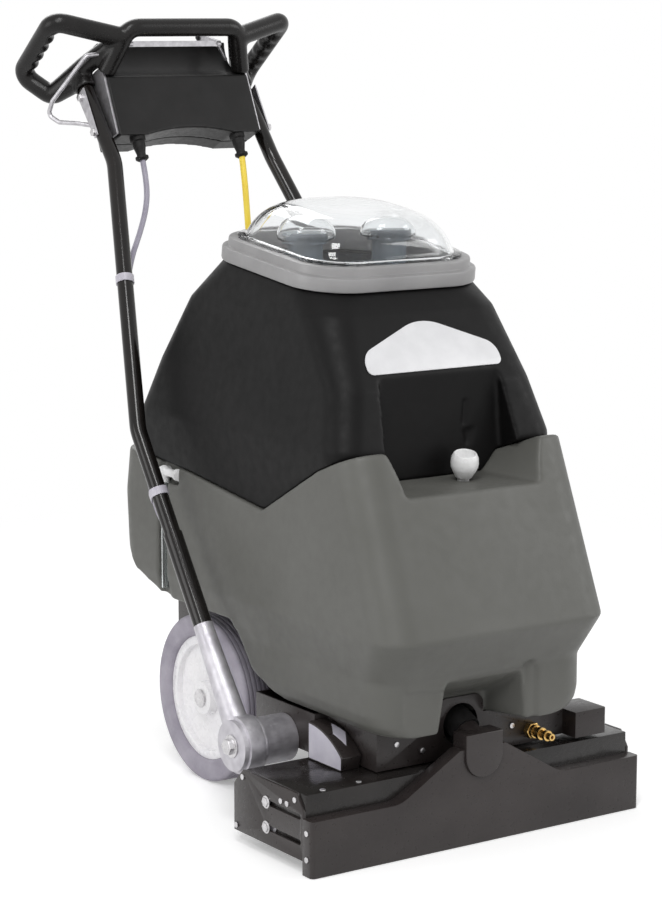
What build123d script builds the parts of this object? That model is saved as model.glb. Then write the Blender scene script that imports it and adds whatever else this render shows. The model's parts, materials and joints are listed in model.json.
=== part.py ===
from build123d import *
from math import cos, pi, radians, sin, sqrt, tan
import os

os.makedirs("parts", exist_ok=True)

# Walk-behind carpet extractor. Millimetres, +Z up, the vacuum shoe faces -Y, the floor is Z = 0.
# The origin lies on the floor under the middle of the machine. Names that end in _at are places
# along the machine, measured back from the front face of the shoe.

# Driving dimensions: fits and fasteners
sheet = 3.0
running_gap = 0.08
seat_gap = 0.3
slide_gap = 0.1
screw_head = 1.8
screw_head_dia = 7.4
bolt_head = 3.0
bolt_flats = 11.0
washer_dia = 16.0
washer = 1.0

# Driving dimensions: vacuum shoe and brush deck
overall_width = 520.0
shoe_front = -401.4
shoe_depth = 21.0
shoe_end_height = 71.0
shoe_wall = 4.5
shoe_corner = 6.0
hump_height = 124.0
hump_top_half = 36.0
hump_foot_half = 126.0
hump_blend = 45.0
outlet_width = 57.0
outlet_top = 143.0
outlet_proud = 4.0
outlet_spigot = 7.0
outlet_bore_dia = 26.0
outlet_lean = 30.5
outlet_rear_z = 128.0
side_plate = 4.0
plate_floor_gap = 17.0
deck_height = 99.0
deck_depth = 156.0
deck_skirt = 19.0
deck_chamfer = 21.0
slot_height = 7.0
slot_length = 80.0
upper_slot_z = 71.0
lower_slot_z = 39.0
slot_rear_at = 106.0
screw_margin = 9.0
foot_screw_in = 6.0
foot_screw_up = 7.0
row_screw_in = 34.0
row_screw_pitch = 14.0
row_screw_drop = 18.0
shoe_screw_low = 22.0
shoe_screw_high = 55.0
boss_screw_in = 6.0
boss_screw_back = 10.0

# Driving dimensions: brush and its drive
brush_dia = 88.0
brush_core_dia = 44.0
brush_floor_gap = 2.0
brush_at = 100.0
brush_left = -126.0
brush_end_gap = 13.0
brush_shaft_dia = 14.0
bearing_dia = 30.0
bearing_width = 9.0
brush_pulley_dia = 42.0
motor_pulley_dia = 16.0
pulley_flange = 4.0
belt_thick = 2.5
belt_width = 12.0
belt_x = -147.0
motor_at = 135.0
brush_motor_dia = 46.0
brush_motor_left = -124.0
brush_motor_right = -38.0
motor_shaft_dia = 8.0
motor_clear = 1.0
motor_foot = 10.0
motor_foot_in = 16.0
motor_foot_share = 0.7
guard_left = -162.0
guard_right = -133.0
guard_front_at = 76.0
guard_rear_at = 152.0
guard_height = 49.0
guard_radius = 108.0
guard_nose = 12.0
guard_wall = 2.0
spray_bar_at = 148.0
spray_bar_z = 70.0
spray_bar_dia = 12.0
nozzle_dia = 7.0
nozzle_length = 10.0
nozzle_count = 5
nozzle_pitch = 80.0

# Driving dimensions: chassis, wheels and handle pivots
chassis_floor = 101.0
tank_bottom = 154.0
port_at = 47.0
chassis_step_at = 155.0
chassis_bay_at = 292.0
chassis_tall_at = 342.0
chassis_rear_at = 572.0
chassis_front_half = 130.0
chassis_mid_half = 150.0
chassis_rear_half = 100.0
motor_shelf_z = 128.0
port_hole_dia = 54.0
port_rim = 9.0
port_corner = 14.0
port_z = 143.0
horn_at = 20.0
horn_inner_x = 166.0
horn_outer_x = 217.0
horn_low = 104.0
horn_high = 138.0
horn_arm = 28.0
coupler_x = 112.0
coupler_z = 118.0
coupler_reach = 46.0
coupler_flats = 19.0
hose_dia = 40.0
hose_wall = 3.0
hose_level = 131.0
hose_crest_run = 10.0
hose_low_at = 140.0
hose_turn_at = 205.0
hose_turn_share = 0.3
hose_bend = 60.0
hose_end_bend = 45.0
suction_top_bend = 30.0
suction_low_bend = 20.0
wheel_dia = 228.6
wheel_width = 42.0
wheel_face_x = 150.0
wheel_at = 431.0
wheel_hub_dia = 170.0
hub_web = 12.0
hub_boss_dia = 46.0
tread_groove = 3.0
tread_count = 5
axle_dia = 16.0
axle_cap_dia = 24.0
axle_cap = 3.0
pivot_at = 221.0
pivot_z = 110.0
pivot_barrel_dia = 62.0
pivot_collar_dia = 70.0
pivot_collar = 6.0
pivot_spigot_dia = 25.0
pivot_inner_x = 204.0
pivot_eye_width = 22.0
pivot_eye_dia = 74.0
pivot_disc = 7.0
pivot_disc_dia = 66.0
pivot_bolt_flats = 19.0
pivot_bolt_head = 7.0
pivot_washer = 1.5
pivot_washer_dia = 30.0

# Driving dimensions: vacuum motor and pump
fan_dia = 140.0
fan_height = 58.0
fan_at = 460.0
fan_motor_dia = 92.0
fan_motor_height = 40.0
suction_level = 160.0
pump_x = 85.0
pump_at = 215.0
pump_length = 60.0
pump_width = 52.0
pump_height = 34.0
pump_motor_dia = 30.0
pump_motor_length = 40.0

# Driving dimensions: solution tank
skirt_z = 225.0
belly_z = 280.0
tank_top_z = 505.0
tank_skirt_half = 163.0
tank_belly_half = 175.0
tank_top_half = 171.0
skirt_front_at = -14.0
belly_front_at = -46.0
tank_top_front_at = 44.0
tank_rear_at = 608.0
tank_rear_taper = 8.0
tank_corner = 46.0
tank_edge = 28.0
tank_bulge = 10.0
tank_bulge_z = 380.0
tank_wall = 6.0
cut_margin = 40.0
arch_front_at = 215.0
arch_mid_at = 283.0
arch_mid_z = 188.0
arch_at = 330.0
arch_z = 246.0
tail_at = 492.0
tail_rise_at = 560.0
tail_rise_z = 274.0
tail_end_z = 322.0
seam_rear_z = 446.0
seam_knee_at = 430.0
seam_knee_z = 428.0
seam_low_at = 245.0
seam_low_z = 405.0
seam_step_at = 118.0
seam_step_z = 474.0
seam_front_at = 50.0
seam_front_z = 501.0
notch_left = 84.0
notch_right = 64.0
notch_top = 222.0
panel_depth = 4.0
panel_left = 132.0
panel_low_top = 216.0
panel_step = 12.0
trough_floor = 452.0
trough_drop = 6.0
trough_front_at = 6.0
trough_back_half = 74.0
trough_front_half = 109.0
trough_top_half = 121.0
nose_depth = 52.0
water_low = 182.0
water_high = 396.0
tunnel_wall = 5.0
tunnel_gap = 2.5
fill_half = 110.0
fill_front_at = 360.0
fill_rear_at = 560.0
channel_at = 489.0
channel_width = 22.0
channel_depth = 14.0
level_z = 420.0
level_dia = 11.0
level_wall = 1.5
elbow_dia = 14.0
elbow_run = 40.0
elbow_collar = 16.0
collar_width = 7.0
stopper_x = 24.5
stopper_at = 78.0
stopper_dia = 36.0
stopper_height = 36.0
stopper_mouth_dia = 29.0
stopper_cup_dia = 25.0
stopper_foot_dia = 21.0
stopper_stem_dia = 15.0
stopper_stem = 10.0
stopper_lean = 14.0
stopper_turn = 6.0

# Driving dimensions: recovery tank and dome
recovery_wall = 5.0
shoulder_z = 500.0
brow_z = 570.0
crown_z = 658.0
recovery_top_z = 700.0
crown_tilt = 7.0
recovery_low_half = 167.0
shoulder_half = 172.0
brow_half = 155.0
crown_half = 146.0
recovery_top_half = 134.0
recovery_low_front_at = 58.0
shoulder_front_at = 69.0
brow_front_at = 91.0
crown_front_at = 146.0
recovery_top_front_at = 168.0
recovery_low_rear_at = 588.0
shoulder_rear_at = 568.0
brow_rear_at = 544.0
crown_rear_at = 490.0
recovery_top_rear_at = 432.0
recovery_corner = 38.0
recovery_top_corner = 62.0
recess_at = 104.0
recess_half = 100.0
recess_flare = 12.0
recess_taper = 8.0
recess_top_z = 584.0
recess_lip_at = 100.0
cavity_floor_z = 453.0
cavity_wall = 11.0
sump_lead = 55.0
sump_rise = 2.0
badge_height = 74.0
badge_foot_half = 104.0
badge_foot = 29.0
badge_corner = 9.0
badge_shoulder = 25.0
badge_tip = 70.0
badge_thick = 1.6
badge_z = 620.0
mouth_margin = 22.0
ring_height = 31.0
ring_step = 12.0
ring_step_in = 8.0
ring_proud = 6.0
ring_corner = 64.0
dome_rim = 10.0
dome_flange = 4.0
dome_height = 58.0
dome_wall = 3.0
hood_round = 2.0
pipe_x = 66.0
pipe_at = 300.0
pipe_dia = 46.0
pipe_wall = 3.0
pipe_top_z = 736.0
hood_height = 14.0
float_dia = 38.0
float_gap = 3.0
float_rise = 30.0
float_z = 610.0
float_reach = 56.0
cage_bar_dia = 5.0
cage_rim = 1.0

# Driving dimensions: handle
handle_half = 216.0
handle_lean = 34.6
socket_end = 167.0
socket_root_dia = 40.0
sleeve_end = 298.0
sleeve_dia = 25.4
sleeve_wall = 1.5
lower_bend = 452.0
tube_dia = 22.2
tube_wall = 1.6
tube_start = 223.0
upper_half = 130.5
upper_bend_at = 682.0
upper_bend_z = 825.0
upper_lean = 38.6
upper_length = 152.0
tube_bend = 75.0
box_at = 689.0
box_z = 862.0
box_lean = 24.4
box_half = 116.0
box_height = 109.0
box_front_depth = 36.0
box_rear_depth = 30.0
box_flat = 88.0
box_wall = 3.0
box_arch = 9.0
box_arch_half = 70.0
box_scoop_dia = 96.0
box_scoop_depth = 26.0
scoop_top = 149.0
scoop_half = 107.0
strap = 2.0
strap_width = 14.0
bracket_margin = 4.0
bracket_cut = 10.0
strap_low_bolt = 52.0
strap_high_bolt = 112.0
handle_bolt_dia = 6.0
handle_bolt_head = 4.0
handle_bolt_flats = 10.0
bar_dia = 26.0
grip_dia = 28.0
bar_bend_radius = 22.0
loop_bend_radius = 16.0
inner_bend = 200.0
bar_half = 89.0
bar_at = 711.0
bar_z = 1010.0
loop_half = 190.0
loop_top_at = 744.0
loop_top_z = 1019.0
loop_rear_at = 841.8
loop_rear_z = 944.0
loop_foot_half = 158.0
loop_foot_at = 812.0
loop_foot_z = 914.0
grip_socket = 26.0
grip_rim = 5.0
leg_in = 4.0
neck_share = 0.78
loop_sink = 8.0
inner_rise = 4.0
gland_x = 82.5
gland_depth = 13.0
gland_dia = 22.0
gland_neck_dia = 13.0
gland_length = 34.0
lead_dia = 8.0
mains_dia = 9.0
plug_dia = 36.0
plug_length = 58.0
pin_dia = 4.8
pin_length = 16.0
hook_dia = 6.4
clip_width = 11.0
clip_thick = 1.5
rocker_width = 14.0
rocker_length = 19.0
rocker_depth = 8.0
rocker_rise = 3.0
rocker_gap = 1.6
rocker_x = 45.0
lever_left = -80.0
lever_right = 72.0
lever_height = 8.0
lever_thick = 4.0
lever_at = 728.0
lever_z = 987.0
lever_pin_dia = 5.0
lever_arm = 6.0
ear_reach = 3.4
link_dia = 5.0

# Values worked out from the driving dimensions
shoe_half = overall_width / 2 - screw_head
plate_face = overall_width / 2 - bolt_head
side_x = plate_face - side_plate
brush_right = side_x - brush_end_gap
deck_front = shoe_front + shoe_depth
deck_rear = deck_front + deck_depth
brush_y = shoe_front + brush_at
brush_z = brush_floor_gap + brush_dia / 2
motor_y = shoe_front + motor_at
motor_z = chassis_floor + sheet + brush_motor_dia / 2 + motor_clear
port_y = shoe_front + port_at
wheel_y = shoe_front + wheel_at
wheel_z = wheel_dia / 2
pivot_y = shoe_front + pivot_at
pipe_y = shoe_front + pipe_at
outlet_mid = outlet_top - outlet_width / 2
lean = radians(handle_lean)
loop_rise = Vector(0, 0, inner_rise)
x_axis = (1, 0, 0)
low_corner = (Align.CENTER, Align.CENTER, Align.MIN)
high_corner = (Align.CENTER, Align.CENTER, Align.MAX)
rear_corner = (Align.CENTER, Align.MIN, Align.MIN)
bore_length = 3 * shoe_depth


# Labels a finished piece and writes it as one STEP file
def keep(part, name):
    part.label = name
    export_step(part, f"parts/{name}.step")


# A plane across the machine at one place along X, whose normal is +X
def across(x, y, z):
    return Plane((x, y, z), x_dir=(0, 1, 0), z_dir=x_axis)


# A point on the straight lower run of a handle tube, measured up from its pivot
def along(side, distance):
    return (side * handle_half, pivot_y + distance * sin(lean), pivot_z + distance * cos(lean))


# The plane square to that run, with its X across the machine
def tube_plane(side, distance):
    return Plane(along(side, distance), x_dir=x_axis, z_dir=(0, sin(lean), cos(lean)))


# Side outline of the joint between the two tanks, as (Y, Z), lifted by a gap
def seam(lift):
    line = [
        (tank_rear_at + cut_margin, seam_rear_z),
        (seam_knee_at, seam_knee_z),
        (seam_low_at, seam_low_z),
        (seam_step_at, seam_step_z),
        (seam_front_at, seam_front_z),
        (belly_front_at - cut_margin, seam_front_z),
    ]
    return [(shoe_front + y, z + lift) for y, z in line]


# Height of the joint between the tanks over its low stretch
def seam_height(at):
    slope = (seam_knee_z - seam_low_z) / (seam_knee_at - seam_low_at)
    return seam_low_z + slope * (at - seam_low_at)


# Largest arcs that a cord's runs leave room for
def cord_radii(points):
    radii = []
    for before, here, after in zip(points, points[1:], points[2:]):
        first = Vector(*here) - Vector(*before)
        second = Vector(*after) - Vector(*here)
        turn = radians(first.get_angle(second))
        radii.append(0.45 * min(first.length, second.length) / tan(turn / 2))
    return radii


# The leaning axis of the suction outlet: where its bore starts in the shoe and where the hose starts
outlet_tilt = radians(outlet_lean)
outlet_way = (0, cos(outlet_tilt), sin(outlet_tilt))
bore_run = shoe_depth / 2 / cos(outlet_tilt)
spigot_run = (sheet + hose_dia / 2 * sin(outlet_tilt) + 2) / cos(outlet_tilt)
outlet_rear = Vector(0, deck_front, outlet_rear_z)
outlet_bore = Plane(outlet_rear - Vector(*outlet_way) * bore_run, z_dir=outlet_way)
hose_start = Plane(outlet_rear + Vector(*outlet_way) * spigot_run, z_dir=outlet_way)

# Vacuum shoe: a hollow slotted nose with a hump in the middle that carries the suction outlet
shoe_plane = Plane.XZ.offset(-shoe_front)


def shoe_outline(inset):
    end = shoe_half - inset
    low = shoe_end_height - inset
    high = hump_height - inset
    return [
        (-end, 0),
        (end, 0),
        (end, low),
        (hump_foot_half, low),
        (hump_top_half, high),
        (-hump_top_half, high),
        (-hump_foot_half, low),
        (-end, low),
    ]


with BuildPart() as vacuum_shoe:
    with BuildSketch(shoe_plane):
        with BuildLine():
            Polyline(*shoe_outline(0), close=True)
        make_face()
    extrude(amount=-shoe_depth)
    low_edges = vacuum_shoe.edges().filter_by(Axis.Y).group_by(Axis.Z)[1]
    fillet(low_edges.sort_by(Axis.X)[1:3], hump_blend)
    fillet(vacuum_shoe.edges().filter_by(Axis.Z).sort_by(Axis.Y)[:2], shoe_corner)
    with BuildSketch(shoe_plane.offset(-shoe_wall)):
        with BuildLine():
            Polyline(*shoe_outline(shoe_wall), close=True)
        make_face()
    extrude(amount=-(shoe_depth - 2 * shoe_wall), mode=Mode.SUBTRACT)
    with Locations(outlet_bore):
        Cylinder(outlet_bore_dia / 2, bore_length, align=low_corner, mode=Mode.SUBTRACT)
keep(vacuum_shoe.part, "vacuum_shoe")

# Suction outlet: a round-bottomed cover on the hump's face, a saddle over its top and a leaning spigot
with BuildPart() as shoe_outlet:
    with BuildSketch(shoe_plane):
        with Locations((0, outlet_mid)):
            Circle(outlet_width / 2)
        with Locations((0, outlet_mid + outlet_width / 4)):
            Rectangle(outlet_width, outlet_width / 2)
    extrude(amount=outlet_proud)
    with BuildSketch(shoe_plane):
        with Locations((0, (hump_height + outlet_top) / 2)):
            Rectangle(outlet_width, outlet_top - hump_height)
    extrude(amount=-shoe_depth)
    with BuildSketch(Plane.XZ.offset(-deck_front)):
        with Locations((0, (deck_height + outlet_top) / 2)):
            Rectangle(outlet_width, outlet_top - deck_height)
    extrude(amount=-sheet)
    with Locations(Plane(outlet_rear, z_dir=outlet_way)):
        Cylinder(hose_dia / 2 - hose_wall - slide_gap, spigot_run + outlet_spigot, align=low_corner)
    with Locations(outlet_bore):
        Cylinder(outlet_bore_dia / 2, bore_length, align=low_corner, mode=Mode.SUBTRACT)
    fillet(shoe_outlet.faces().sort_by(Axis.Y)[0].edges(), outlet_proud / 3)
keep(shoe_outlet.part, "shoe_outlet")


# Brush deck: a folded hood over the roller, open underneath
def deck_profile(inset):
    return [
        (deck_front + inset, deck_skirt),
        (deck_front + inset, deck_height - inset),
        (deck_rear - deck_chamfer - inset / 2, deck_height - inset),
        (deck_rear - inset, deck_height - deck_chamfer - inset / 2),
        (deck_rear - inset, deck_skirt),
    ]


belt_share = (deck_height - brush_z) / (motor_z - brush_z)
belt_slot_y = (motor_y + brush_y) / 2 + (motor_y - brush_y) * belt_share / 4
with BuildPart() as brush_deck:
    with BuildSketch(Plane.YZ):
        with BuildLine():
            Polyline(*deck_profile(0), close=True)
        make_face()
    extrude(amount=side_x, both=True)
    with BuildSketch(Plane.YZ):
        with BuildLine():
            Polyline(*deck_profile(sheet), close=True)
        make_face()
    extrude(amount=side_x - sheet, both=True, mode=Mode.SUBTRACT)
    with Locations(across(0, brush_y, brush_z)):
        Cylinder(bearing_dia / 2, 2 * side_x + 2, mode=Mode.SUBTRACT)
    with Locations((belt_x, belt_slot_y, deck_height)):
        Box(belt_width + 2 * pulley_flange, brush_pulley_dia, 3 * sheet, mode=Mode.SUBTRACT)
keep(brush_deck.part, "brush_deck")

# Side plates with two adjusting slots each
for side, name in ((-1, "left"), (1, "right")):
    with BuildPart() as plate:
        with BuildSketch(Plane.YZ.offset(side * side_x)):
            with BuildLine():
                Polyline(
                    (deck_front, plate_floor_gap),
                    (deck_front, upper_slot_z + slot_height),
                    (deck_front + 2 * slot_height, deck_height),
                    (deck_rear - deck_chamfer, deck_height),
                    (deck_rear, deck_height - deck_chamfer),
                    (deck_rear, plate_floor_gap),
                    close=True,
                )
            make_face()
            slot_y = shoe_front + slot_rear_at - slot_length / 2
            with Locations((slot_y, upper_slot_z), (slot_y, lower_slot_z)):
                SlotOverall(slot_length, slot_height, mode=Mode.SUBTRACT)
        extrude(amount=side * side_plate)
    keep(plate.part, f"{name}_side_plate")

# Clamp bolts at the rear ends of the slots: hexagon heads on washers, with shanks through to the deck
bolt_places = [
    (shoe_front + slot_rear_at - slot_height / 2, upper_slot_z),
    (shoe_front + slot_rear_at - slot_height / 2, lower_slot_z),
]
with BuildPart() as shoe_bolts:
    for side in (-1, 1):
        with BuildSketch(Plane.YZ.offset(side * side_x)):
            with Locations(*bolt_places):
                Circle(slot_height / 2 - seat_gap)
        extrude(amount=side * side_plate)
        with BuildSketch(Plane.YZ.offset(side * plate_face)):
            with Locations(*bolt_places):
                Circle(washer_dia / 2)
        extrude(amount=side * washer)
        with BuildSketch(Plane.YZ.offset(side * (plate_face + washer))):
            with Locations(*bolt_places):
                RegularPolygon(bolt_flats / sqrt(3), 6)
        extrude(amount=side * (bolt_head - washer))
keep(shoe_bolts.part, "shoe_bolts")

# Pan-head screws of the side plates, the shoe's ends, the deck's top and the chassis front
plate_screws = [
    (deck_rear - deck_chamfer, deck_height - screw_margin),
    (deck_rear - foot_screw_in, plate_floor_gap + foot_screw_up),
    (deck_front + 2 * slot_height + sheet, deck_height - screw_margin),
    (deck_front + row_screw_in, deck_height - row_screw_drop),
    (deck_front + row_screw_in + row_screw_pitch, deck_height - row_screw_drop),
]
shoe_mid = shoe_front + shoe_depth / 2
shoe_screws = [(shoe_mid, shoe_screw_low), (shoe_mid, shoe_screw_high)]
top_screws = [
    (guard_left - boss_screw_in, deck_front + boss_screw_back),
    (row_screw_in - shoe_half, deck_front + boss_screw_in),
]
front_screws = [(-100, 132), (-60, 118), (82, 128)]
with BuildPart() as panel_screws:
    for side in (-1, 1):
        with BuildSketch(Plane.YZ.offset(side * plate_face)):
            with Locations(*plate_screws):
                Circle(screw_head_dia / 2)
        extrude(amount=side * screw_head)
        with BuildSketch(Plane.YZ.offset(side * shoe_half)):
            with Locations(*shoe_screws):
                Circle(screw_head_dia / 2)
        extrude(amount=side * screw_head)
    with BuildSketch(Plane.XY.offset(deck_height)):
        with Locations(*top_screws):
            Circle(screw_head_dia / 2)
    extrude(amount=screw_head)
    with BuildSketch(Plane.XZ.offset(-port_y)):
        with Locations(*front_screws):
            Circle(screw_head_dia / 2)
    extrude(amount=screw_head)
keep(panel_screws.part, "panel_screws")


# Chassis: a folded tray under the tanks with a port plate in front, one side horn and a motor shelf
def tray_outline():
    ends = [
        (chassis_front_half, port_at),
        (chassis_front_half, chassis_step_at),
        (chassis_mid_half, chassis_step_at),
        (chassis_mid_half, chassis_bay_at),
        (chassis_rear_half, chassis_bay_at),
        (chassis_rear_half, chassis_rear_at),
    ]
    right = [(x, shoe_front + y) for x, y in ends]
    return right + [(-x, y) for x, y in reversed(right)]


port_half = port_hole_dia / 2 + port_rim
tall_front = shoe_front + chassis_tall_at
tall_mid = (tall_front + shoe_front + chassis_rear_at) / 2
tall_length = shoe_front + chassis_rear_at - tall_front
horn_mid = (horn_low + horn_high) / 2
with BuildPart() as chassis_frame:
    with BuildSketch(Plane.XY.offset(chassis_floor)):
        with BuildLine():
            Polyline(*tray_outline(), close=True)
        make_face()
    extrude(amount=tank_bottom - chassis_floor)
    with Locations((0, tall_mid, chassis_floor)):
        Box(2 * chassis_rear_half, tall_length, arch_z - chassis_floor, align=low_corner)
    with BuildSketch(Plane.XY.offset(chassis_floor + sheet)):
        with BuildLine():
            Polyline(*tray_outline(), close=True)
        make_face()
        offset(amount=-sheet, kind=Kind.INTERSECTION)
    extrude(amount=arch_z, mode=Mode.SUBTRACT)
    with Locations((0, tall_front, tank_bottom)):
        Box(2 * chassis_rear_half + 2, 2 * sheet, arch_z, align=low_corner, mode=Mode.SUBTRACT)
    with Locations((0, tall_mid, motor_shelf_z)):
        Box(2 * (chassis_rear_half - sheet), tall_length, sheet, align=low_corner)
    with BuildSketch(Plane.XZ.offset(-port_y)):
        with Locations((0, (chassis_floor + port_z + port_half) / 2)):
            RectangleRounded(2 * port_half, port_z + port_half - chassis_floor, port_corner)
    extrude(amount=-sheet)
    with BuildSketch(Plane.XZ.offset(-port_y)):
        with Locations((0, port_z)):
            Circle(port_hole_dia / 2)
    extrude(amount=2 * sheet, both=True, mode=Mode.SUBTRACT)
    with Locations(((chassis_front_half + horn_outer_x) / 2, port_y + horn_arm / 2, horn_mid)):
        Box(horn_outer_x - chassis_front_half, horn_arm, horn_high - horn_low)
    with Locations(((horn_inner_x + horn_outer_x) / 2, (shoe_front + horn_at + port_y) / 2, horn_mid)):
        Box(horn_outer_x - horn_inner_x, port_at - horn_at, horn_high - horn_low)
    with Locations(across(0, wheel_y, wheel_z)):
        Cylinder(axle_dia / 2, 2 * chassis_rear_half + 2, mode=Mode.SUBTRACT)
    with Locations(across(-chassis_front_half, motor_y, motor_z)):
        Cylinder(motor_shaft_dia, 3 * sheet, mode=Mode.SUBTRACT)
    with BuildSketch(Plane.XZ.offset(-port_y)):
        with Locations((coupler_x, coupler_z)):
            Circle(coupler_flats / 4)
    extrude(amount=2 * sheet, both=True, mode=Mode.SUBTRACT)
    outer_horn = chassis_frame.edges().filter_by(Axis.Z).filter_by_position(
        Axis.X, horn_outer_x - 1, horn_outer_x + 1
    )
    fillet(outer_horn, sheet)
keep(chassis_frame.part, "chassis_frame")

# Brass quick coupler on the chassis front: a hexagon body, a ringed stem and a tip
coupler_steps = [(coupler_flats * 0.45, 0.30), (coupler_flats * 0.36, 0.42), (coupler_flats * 0.42, 0.56)]
coupler_steps += [(coupler_flats * 0.30, 0.70), (coupler_flats * 0.36, 0.82), (coupler_flats * 0.24, 1.0)]
with BuildPart() as brass_coupler:
    with BuildSketch(Plane.XZ.offset(-port_y)):
        with Locations((coupler_x, coupler_z)):
            RegularPolygon(coupler_flats / sqrt(3), 6)
    extrude(amount=coupler_reach * 0.18)
    reached = 0.18
    for radius, share in coupler_steps:
        with BuildSketch(Plane.XZ.offset(-port_y + coupler_reach * reached)):
            with Locations((coupler_x, coupler_z)):
                Circle(radius)
        extrude(amount=coupler_reach * (share - reached))
        reached = share
    with BuildSketch(Plane.XZ.offset(-port_y)):
        with Locations((coupler_x, coupler_z)):
            Circle(coupler_flats / 4 - slide_gap)
    extrude(amount=-2 * sheet)
    with BuildSketch(Plane.XZ.offset(-port_y + coupler_reach)):
        with Locations((coupler_x, coupler_z)):
            Circle(coupler_flats * 0.12)
    extrude(amount=-coupler_reach - 2 * sheet, mode=Mode.SUBTRACT)
keep(brass_coupler.part, "brass_coupler")


# A hose of one bore along straight runs joined by arcs
def hose(points, bends, dia, wall):
    with BuildPart() as body:
        with BuildLine() as route:
            FilletPolyline(*points, radius=bends)
        with BuildSketch(Plane(route.line @ 0, z_dir=route.line % 0)):
            Circle(dia / 2)
            Circle(dia / 2 - wall, mode=Mode.SUBTRACT)
        sweep()
    return body.part


# Vacuum hose: from the shoe outlet through the port plate, back along the tray and up through the tank
hose_top = seam_height(pipe_at) - seat_gap
hose_crest_at = port_at + hose_crest_run
hose_crest = hose_start.origin.Z + (shoe_front + hose_crest_at - hose_start.origin.Y) * tan(outlet_tilt)
vacuum_hose = hose(
    [
        tuple(hose_start.origin),
        (0, shoe_front + hose_crest_at, hose_crest),
        (0, shoe_front + hose_low_at, hose_level + 1),
        (-pipe_x * hose_turn_share, shoe_front + hose_turn_at, hose_level),
        (-pipe_x, pipe_y, hose_level),
        (-pipe_x, pipe_y, hose_top),
    ],
    [hose_end_bend, hose_bend, hose_bend, hose_end_bend],
    hose_dia,
    hose_wall,
)
keep(vacuum_hose, "vacuum_hose")

# Belt guard: a quarter-round cover on the deck, open underneath and towards the motor
guard_rear = shoe_front + guard_rear_at
guard_front = shoe_front + guard_front_at
guard_top = deck_height + guard_height


def guard_profile(inset):
    centre = (guard_rear, guard_top - guard_radius)
    radius = guard_radius - inset
    rear = guard_rear - inset
    front = guard_front + inset
    rear_z = centre[1] + sqrt(radius**2 - inset**2)
    front_z = centre[1] + sqrt(radius**2 - (centre[0] - front) ** 2)
    middle = (rear + front) / 2
    middle_z = centre[1] + sqrt(radius**2 - (centre[0] - middle) ** 2)
    return rear, rear_z, middle, middle_z, front, front_z


def guard_sketch(inset):
    rear, rear_z, middle, middle_z, front, front_z = guard_profile(inset)
    with BuildSketch(Plane.YZ.offset(guard_left + inset)) as outline:
        with BuildLine():
            ThreePointArc((rear, rear_z), (middle, middle_z), (front, front_z))
            toe = (front + guard_nose / 3, deck_height)
            Polyline((front, front_z), toe, (rear, deck_height), (rear, rear_z))
        make_face()
    return outline.sketch


with BuildPart() as belt_guard:
    extrude(guard_sketch(0), amount=guard_right - guard_left)
    extrude(guard_sketch(guard_wall), amount=guard_right - guard_left, mode=Mode.SUBTRACT)
keep(belt_guard.part, "belt_guard")

# Brush motor on the tray's floor, with two feet and its shaft through the tray's wall
with BuildPart() as brush_motor:
    motor_mid = (brush_motor_left + brush_motor_right) / 2
    with Locations(across(motor_mid, motor_y, motor_z)):
        Cylinder(brush_motor_dia / 2, brush_motor_right - brush_motor_left)
    with Locations(across(belt_x / 2 + brush_motor_left / 2 - belt_width / 4, motor_y, motor_z)):
        Cylinder(motor_shaft_dia / 2, brush_motor_left - belt_x + belt_width / 2)
    foot_height = motor_z - chassis_floor - sheet
    foot_spots = (brush_motor_left + motor_foot_in, brush_motor_right - motor_foot_in)
    with Locations(*[(x, motor_y, motor_z) for x in foot_spots]):
        Box(motor_foot, brush_motor_dia * motor_foot_share, foot_height, align=high_corner)
keep(brush_motor.part, "brush_motor")


# A flanged pulley on an X axis, with a bore for its shaft
def pulley(place, dia, bore):
    with BuildPart() as wheel:
        with Locations(place):
            Cylinder(dia / 2, belt_width + 2)
            Cylinder(bore / 2, belt_width + 4, mode=Mode.SUBTRACT)
        rims = (place.origin + Vector(*x_axis) * (belt_width / 2 + 1 + sheet / 4) * end for end in (-1, 1))
        for rim in rims:
            with Locations(across(rim.X, rim.Y, rim.Z)):
                Cylinder(dia / 2 + pulley_flange / 2, sheet / 2)
                Cylinder(bore / 2, sheet, mode=Mode.SUBTRACT)
    return wheel.part


motor_pulley = pulley(across(belt_x, motor_y, motor_z), motor_pulley_dia, motor_shaft_dia + 2 * running_gap)
keep(motor_pulley, "motor_pulley")
brush_pulley = pulley(across(belt_x, brush_y, brush_z), brush_pulley_dia, brush_shaft_dia)
keep(brush_pulley, "brush_pulley")


# Drive belt: the band between two outlines, each drawn tight round both pulleys
def belt_loop(outset):
    with BuildSketch(Plane.YZ.offset(belt_x - belt_width / 2)) as loop:
        with Locations((motor_y, motor_z)):
            Circle(motor_pulley_dia / 2 + outset)
        with Locations((brush_y, brush_z)):
            Circle(brush_pulley_dia / 2 + outset)
        make_hull()
    return loop.sketch


with BuildPart() as drive_belt:
    extrude(belt_loop(seat_gap + belt_thick), amount=belt_width)
    extrude(belt_loop(seat_gap), amount=belt_width, mode=Mode.SUBTRACT)
keep(drive_belt.part, "drive_belt")

# Brush roller: core and stepped shaft
with BuildPart() as brush_roller:
    with Locations(across((brush_left + brush_right) / 2, brush_y, brush_z)):
        Cylinder(brush_core_dia / 2, brush_right - brush_left)
    with Locations(across(0, brush_y, brush_z)):
        Cylinder(brush_shaft_dia / 2, 2 * side_x - 1)
    with Locations(across(belt_x, brush_y, brush_z)):
        Cylinder(brush_shaft_dia / 2 + 1, belt_width + 2 + 2 * sheet, mode=Mode.SUBTRACT)
        Cylinder(brush_shaft_dia / 2 - slide_gap, belt_width + 2 + 2 * sheet)
keep(brush_roller.part, "brush_roller")

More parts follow.
